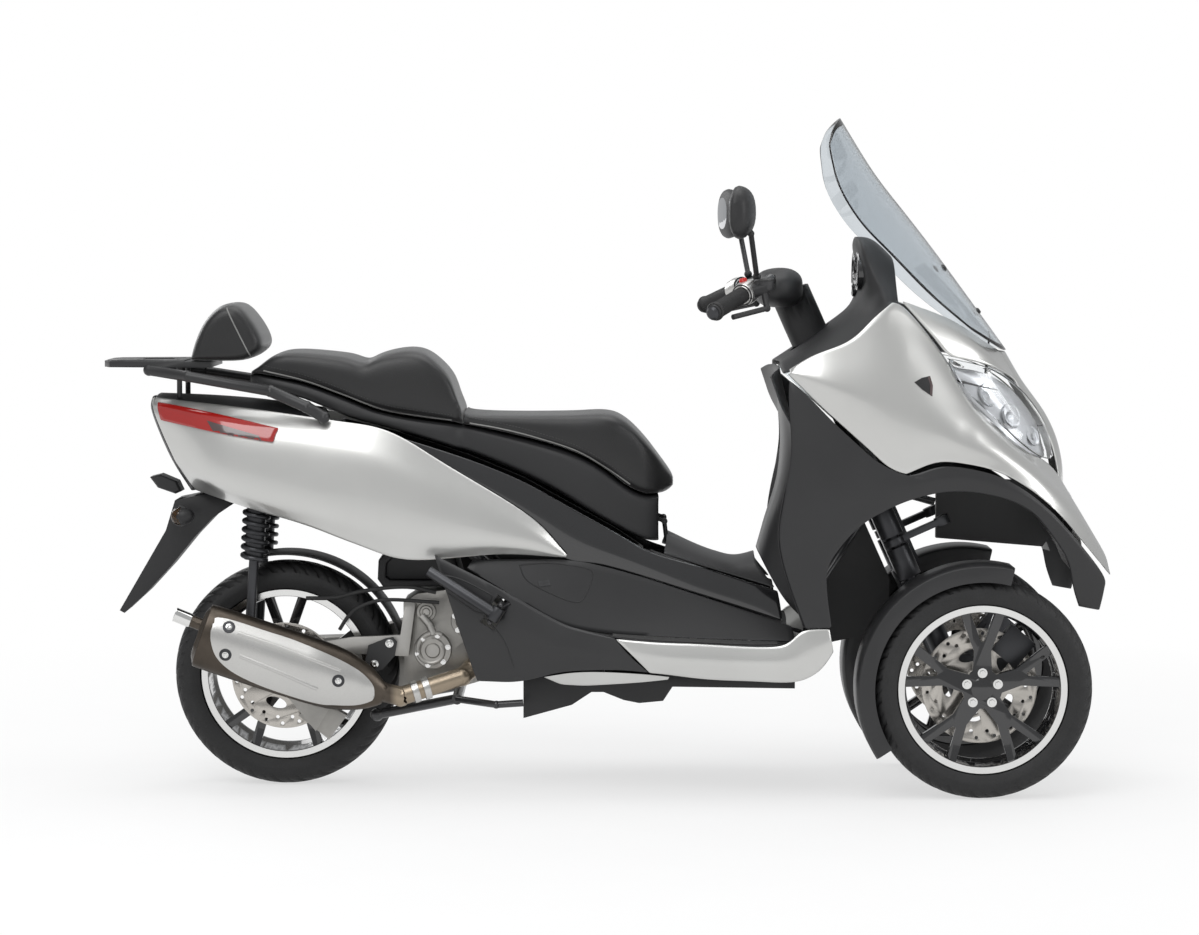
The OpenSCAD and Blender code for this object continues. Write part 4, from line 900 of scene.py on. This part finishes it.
def bar_details():
    """Ribbed grips, bar ends, switch housings, red switch, fluid pots and mirror glass."""
    grips, ends, housings, pots, lids = (bmesh.new() for _ in range(5))
    way = (GRIP_END - GRIP_IN).normalized()
    length = (GRIP_END - GRIP_IN).length
    ribs = [(17.4, length * 0.3)]
    for k in range(26):
        a = length * (0.33 + 0.61 * k / 26)
        ribs += [(17.3, a), (18.4, a + 1.0), (18.4, a + 2.8), (17.3, a + 3.6)]
    ribs += [(20.5, length * 0.955), (21, length * 0.975), (19, length * 0.99), (16.9, length * 0.99),
             (16.9, length * 0.3)]
    for s in SIDES:
        def across(p):
            return Vector((p.x, p.y * s, p.z))
        line = across(way)
        lathe(grips, ribs, across(GRIP_IN), line, 28)
        lathe(ends, [(0, length * 1.075), (10, length * 1.07), (15, length * 1.045), (15, length * 1.0),
                     (0, length * 1.0)],
              across(GRIP_IN), line, 24)
        lathe(housings, [(20, length * 0.08), (25, length * 0.09), (27, length * 0.18), (25.5, length * 0.29),
                         (20, length * 0.315), (18, length * 0.315), (18, length * 0.08)], across(GRIP_IN),
                         line, 28)
        base = across(GRIP_IN + way * length * 0.24) + Vector((44, 0, 18))
        lathe(pots, [(0, -12), (18, -12), (21, -8), (22, 8), (0, 8)], base, Vector((-0.1, 0, 1)), 24)
        lathe(lids, [(0, 16), (18, 15.5), (22.5, 12), (22.5, 8.4), (0, 8.4)], base, Vector((-0.1, 0, 1)), 24)
    piece("grips", closed(grips), RUBBER, "handlebar", "rubber")
    piece("bar_ends", closed(ends), DARK_METAL, "handlebar", "dark_metal")
    piece("switch_housings", closed(housings), SHIELD, "handlebar", "shield_metal")
    piece("fluid_pots", closed(pots), SATIN, "handlebar", "dark_plastic")
    piece("fluid_pot_lids", closed(lids), PLASTIC, "handlebar", "black_plastic")
    switch = bmesh.new()
    spot = GRIP_IN + way * length * 0.2
    lathe(switch, [(0, 9), (7, 8), (9, 5), (9.5, -3), (0, -3)], (spot.x - 6, -spot.y, spot.z + 24),
          Vector((-0.25, 0, 1)), 20)
    piece("stop_switch", closed(switch), RED, "handlebar", "black_plastic")
    skin = Skin(mirror_cases, look="rear")
    glassy = bmesh.new()
    for s in SIDES:
        loop = [(320 + 54 * math.cos(a), 1299 + 37 * math.copysign(abs(math.sin(a)) ** 0.8, math.sin(a)))
                for a in (2 * math.pi * k / 36 for k in range(36))]
        skin.patch(glassy, loop, s, -0.5, 0.4, 14.0)
    piece("mirror_glass", glassy, MIRROR, "handlebar", "black_plastic", sharp=60.0)


bar_details()


# ---------- seat sewing

def seat_lines():
    """Piping along the pads' lower seams and rows of stitches above it."""
    piping, thread, back = bmesh.new(), bmesh.new(), bmesh.new()
    for pad, path in ((rider_pad, [(-300, 829), (-230, 816), (-154, 797), (-60, 766), (9, 726), (60, 690)]),
                      (pillion_pad, [(-760, 946), (-669, 925), (-580, 893), (-490, 859), (-410, 845),
                                     (-340, 836)])):
        skin = Skin(pad)
        for s in SIDES:
            skin.bead(piping, path, s, 1.8, 0.5)
            above = skin.line([(x, z + 12) for x, z in path], s, 0.4)
            if len(above) > 2:
                add_mesh(thread, row(STITCHES, above, 7.0, (5.0, 1.5, 1.5), THREAD))
    piece("seat_piping", closed(piping), PIPING, "seat", "seat_cover")
    piece("seat_stitches", thread, THREAD, "seat", "seat_cover")
    skin = Skin(back_pad)
    for s in SIDES:
        skin.bead(back, [(-842, 1086), (-820, 1040), (-800, 1000), (-790, 980)], s, 1.7, 0.4)
    piece("backrest_piping", closed(back), PIPING, "chassis", "seat_cover")


seat_lines()


# ---------- panels' small parts

def panel_details():
    """Side markers, hatch lines and latches."""
    skin = Skin(fairing)
    marker = bmesh.new()
    for s in SIDES:
        skin.patch(marker, [(683, 926), (700, 935), (718, 939), (724, 918), (722, 895), (700, 910)], s,
                   -1.0, 1.2)
    piece("side_markers", marker, GLOSS, "chassis", "black_gloss")
    edge = bmesh.new()
    for s in SIDES:
        skin.patch(edge, [(713, 935), (718, 939), (724, 918), (722, 895), (717, 899), (719, 918)], s, 1.0,
                   1.9, 5.0)
    piece("side_marker_edges", edge, SMOKE, "chassis", "lamp_red")
    skin = Skin(tunnel_sides)
    lines, latch = bmesh.new(), bmesh.new()
    for s in SIDES:
        loop = [(-188, 512), (-120, 516), (-40, 505), (-24, 488), (-40, 446), (-60, 430), (-110, 446),
                (-170, 478), (-188, 512)]
        skin.bead(lines, loop, s, 1.6, -0.5)
        skin.patch(latch, [(-146, 476), (-122, 480), (-118, 468), (-142, 464)], s, -0.5, 2.2)
    skin = Skin(belly)
    for s in SIDES:
        scoop = [(-364, 496), (-315, 484), (-246, 450), (-240, 440), (-269, 410), (-320, 436), (-362, 464)]
        skin.bead(lines, scoop, s, 2.0, -0.4)
        skin.bead(lines, [(-266, 404), (-223, 353), (-199, 290)], s, 1.6, -0.4)
    piece("hatch_seams", closed(lines), PLASTIC, "chassis", "black_plastic")
    piece("hatch_latches", latch, SATIN, "chassis", "dark_plastic")


panel_details()


def foot_grips():
    """Rubber ribs on the foot boards."""
    skin = Skin(floor_pans, look="top")
    ribs = bmesh.new()
    for s in SIDES:
        for y in range(208, 270, 9):
            skin.bead(ribs, [(20, y), (120, y), (220, y), (320, y), (385, y)], s, 2.6, 0.4, 14.0, 6)
    piece("foot_grip_ribs", closed(ribs), RUBBER, "chassis", "rubber")


foot_grips()


# ---------- engine and exhaust

CAN_X, CAN_Z, CAN_SLOPE = -905, 360, -0.3325


def on_can(x, up):
    """Place in the side view, so far above the silencer's centre line."""
    return x, CAN_Z + CAN_SLOPE * (x - CAN_X) + up


def silencer_shield():
    """Pressed shield with rounded ends, its two ridges, and bolts on dark washers."""
    cage = refine("muffler_shield", SHIELD, "shield_metal")
    skin = Skin(cage)
    drop(cage)
    edge = [on_can(*q) for q in (
        (-872, 25), (-868, 48), (-850, 58), (-813, 61), (-750, 61), (-685, 61), (-600, 53), (-545, 40),
        (-516, 20), (-511, 0), (-516, -18), (-551, -40), (-600, -56), (-642, -66), (-738, -68), (-800, -62),
        (-838, -50), (-862, -30), (-872, 0))]
    loop = [(q.x, q.z) for q in curve_through([(a, 0, b) for a, b in edge + edge[:1]], 7.0)[:-1]]
    plate = bmesh.new()
    skin.patch(plate, loop, -1, -3.0, 0.2, 9.0)
    piece("silencer_shield", plate, SHIELD, "chassis", "shield_metal", "muffler_shield", sharp=50.0)
    ridges = bmesh.new()
    for path in (((-812, 38), (-700, 36), (-585, 28)), ((-808, -12), (-720, -20), (-636, -30))):
        skin.bead(ridges, [on_can(*q) for q in path], -1, 5.0, -2.2, sides=12)
    piece("shield_ridges", closed(ridges), SHIELD, "chassis", "shield_metal")
    washers, spots = bmesh.new(), []
    for q in ((-832, 44), (-840, -20), (-590, 4)):
        place, way = skin.at(*on_can(*q), -1)
        spots.append(facing(tuple(place / MM + way * 2), way))
        lathe(washers, [(0, 1.6), (13, 1.6), (14, 0.4), (14, -1.5), (0, -1.5)], tuple(place / MM), way, 28)
    piece("shield_washers", closed(washers), DARK_METAL, "chassis", "dark_metal")
    bolts("shield_bolts", spots, BRIGHT, "chassis", "disc_steel", 5.5, 5)


silencer_shield()


def engine_details():
    """Covers with their bolts on the right of the engine, header clamp and tail pipe."""
    covers, fins = bmesh.new(), bmesh.new()
    for x, z, y, r in ((-385, 314, -112, 42), (-310, 380, -104, 34), (-400, 400, -100, 22)):
        lathe(covers, [(0, 9), (r * 0.35, 9), (r * 0.42, 6), (r * 0.62, 6), (r * 0.7, 3), (r * 0.97, 2),
                       (r + 0.6, -1.5), (r + 0.6, -6), (0, -6)], (x, y, z), (0, -1, 0), 40)
    piece("engine_covers", closed(covers), CAST, "chassis", "cast_metal")
    swirl = []
    for k in range(41):
        a, r = math.radians(60 + 8.2 * k), 41 - 0.5 * k
        swirl.append(mm(-385 + r * math.cos(a), -114, 314 + r * math.sin(a)))
    spiral = bmesh.new()
    tube(spiral, swirl, 5.5 * MM, 10)
    tube(spiral, [mm(-383, -113, 350), mm(-392, -112, 372), mm(-410, -108, 392)], 9 * MM, 12)
    piece("pump_scroll", closed(spiral), CAST, "chassis", "cast_metal")
    lines = bmesh.new()
    for path, r in ((((-670, -112, 432), (-605, -118, 434), (-548, -124, 448), (-480, -128, 458),
                      (-427, -128, 458), (-377, -122, 446)), 4.6),
                    (((-594, -128, 362), (-577, -126, 389), (-555, -125, 410), (-516, -125, 426),
                      (-470, -126, 430), (-370, -120, 423)), 4.2)):
        tube(lines, curve_through([mm(*q) for q in path], 0.012), r * MM, 10)
    piece("brake_and_fuel_lines", closed(lines), RUBBER, "chassis", "rubber")
    stay = bmesh.new()
    outline = [(-491, 342), (-474, 345), (-465, 334), (-470, 303), (-498, 271), (-520, 267), (-537, 288),
               (-530, 326)]
    near, far = ([stay.verts.new(mm(x, y, z)) for x, z in outline] for y in (-122, -116))
    for k in range(len(outline)):
        j = (k + 1) % len(outline)
        stay.faces.new((near[k], near[j], far[j], far[k]))
    stay.faces.new(near)
    stay.faces.new(far[::-1])
    piece("silencer_stay", closed(stay), PLASTIC, "chassis", "black_plastic")
    bolts("stay_bolts", [facing((-482, -124, 331), (0, -1, 0)), facing((-516, -124, 284), (0, -1, 0))],
          BRIGHT, "chassis", "disc_steel", 7, 6)
    for name, x, z, y, r, n in (("pump", -385, 314, -114, 35, 6), ("gear", -310, 380, -106, 28, 5)):
        bolts(name + "_cover_bolts", [facing((x, y - 1, z), (0, -1, 0), 12)], BRIGHT, "chassis",
              "disc_steel", 4.2, 5, n, r)
    for k in range(9):
        z = 262 + k * 9
        tube(fins, [mm(-214, -86, z), mm(-214, 82, z)], 2.6 * MM, 8)
    piece("engine_fins", closed(fins), CAST, "chassis", "cast_metal")
    pipe = bmesh.new()
    way = (Vector((-952, 0, 402)) - Vector((-888, 0, 376))).normalized()
    lathe(pipe, [(15.2, -34), (16, -30), (16, 2), (16.8, 4), (15.4, 5), (13.2, 4), (12.8, -34)],
          (-952, -190, 402), way, 36)
    piece("tail_pipe", closed(pipe), BRIGHT, "chassis", "exhaust_metal")
    clamp = bmesh.new()
    way = (Vector((-318, -138, 258)) - Vector((-455, -162, 216))).normalized()
    for k in (0, 26):
        lathe(clamp, [(21.2, 0), (25, 1), (25.5, 8), (25, 15), (21.2, 16)],
              Vector((-430, -157.6, 223.7)) + way * k, way, 36)
    piece("header_clamps", closed(clamp), SHIELD, "chassis", "shield_metal")


engine_details()


# ---------- stage

def either(tree, first, second):
    n = tree.nodes.new("ShaderNodeMath")
    n.operation = "MAXIMUM"
    join(tree, (first, n.inputs[0]), (second, n.inputs[1]))
    return n.outputs[0]


def set_stage():
    """White studio: the floor keeps the shadow close by and runs out into the white background."""
    bm = bmesh.new()
    bmesh.ops.create_grid(bm, x_segments=1, y_segments=1, size=40.0)
    floor = bpy.data.meshes.new("floor")
    bm.to_mesh(floor)
    bm.free()
    pale = finish("floor_paint", (0.80, 0.80, 0.80), 0.7, vary=0.01, bump=0.0)
    tree = pale.node_tree
    path = tree.nodes.new("ShaderNodeLightPath")
    seen = path.outputs["Is Camera Ray"]
    for also in ("Is Glossy Ray", "Is Transmission Ray"):
        seen = either(tree, seen, path.outputs[also])
    where = tree.nodes.new("ShaderNodeTexCoord")
    span = tree.nodes.new("ShaderNodeVectorMath")
    span.operation = "LENGTH"
    share = tree.nodes.new("ShaderNodeMath")
    share.operation = "MULTIPLY"
    white = tree.nodes.new("ShaderNodeEmission")
    mix = tree.nodes.new("ShaderNodeMixShader")
    join(tree, (where.outputs["Object"], span.inputs[0]),
         (spread(tree, span.outputs["Value"], 0.62, 1.0, 0.9, 3.2), share.inputs[0]),
         (seen, share.inputs[1]), (share.outputs[0], mix.inputs[0]),
         (tree.nodes["Principled BSDF"].outputs[0], mix.inputs[1]), (white.outputs[0], mix.inputs[2]),
         (mix.outputs[0], tree.nodes["Material Output"].inputs["Surface"]))
    floor.materials.append(pale)
    ground = link("floor", floor)
    world = bpy.data.worlds.new("studio")
    bpy.context.scene.world = world
    world.use_nodes = True
    tree = world.node_tree
    soft = tree.nodes["Background"]
    soft.inputs["Color"].default_value = (0.93, 0.94, 0.95, 1)
    soft.inputs["Strength"].default_value = 0.5
    plain = tree.nodes.new("ShaderNodeBackground")
    plain.inputs["Color"].default_value = (1, 1, 1, 1)
    path = tree.nodes.new("ShaderNodeLightPath")
    seen = either(tree, path.outputs["Is Camera Ray"], path.outputs["Is Transmission Ray"])
    mix = tree.nodes.new("ShaderNodeMixShader")
    join(tree, (seen, mix.inputs[0]), (soft.outputs[0], mix.inputs[1]), (plain.outputs[0], mix.inputs[2]),
         (mix.outputs[0], tree.nodes["World Output"].inputs["Surface"]))
    for name, place, size, power, aim in (
            ("key_light", (-1.6, -4.2, 4.6), 3.6, 150, (0, 0, 0.6)),
            ("top_light", (0.4, 0.3, 5.0), 4.5, 130, (0, 0, 0.6)),
            ("front_light", (5.2, -2.6, 2.6), 2.6, 80, (0.3, 0, 0.7)),
            ("back_light", (-3.5, 4.2, 3.2), 3.0, 80, (0, 0, 0.6))):
        lamp = bpy.data.lights.new(name, "AREA")
        lamp.size = size
        lamp.energy = power
        obj = bpy.data.objects.new(name, lamp)
        obj.location = place
        obj.rotation_euler = (Vector(place) - Vector(aim)).to_track_quat("Z", "Y").to_euler()
        bpy.context.scene.collection.objects.link(obj)
    bpy.context.scene.view_settings.view_transform = "Standard"


set_stage()
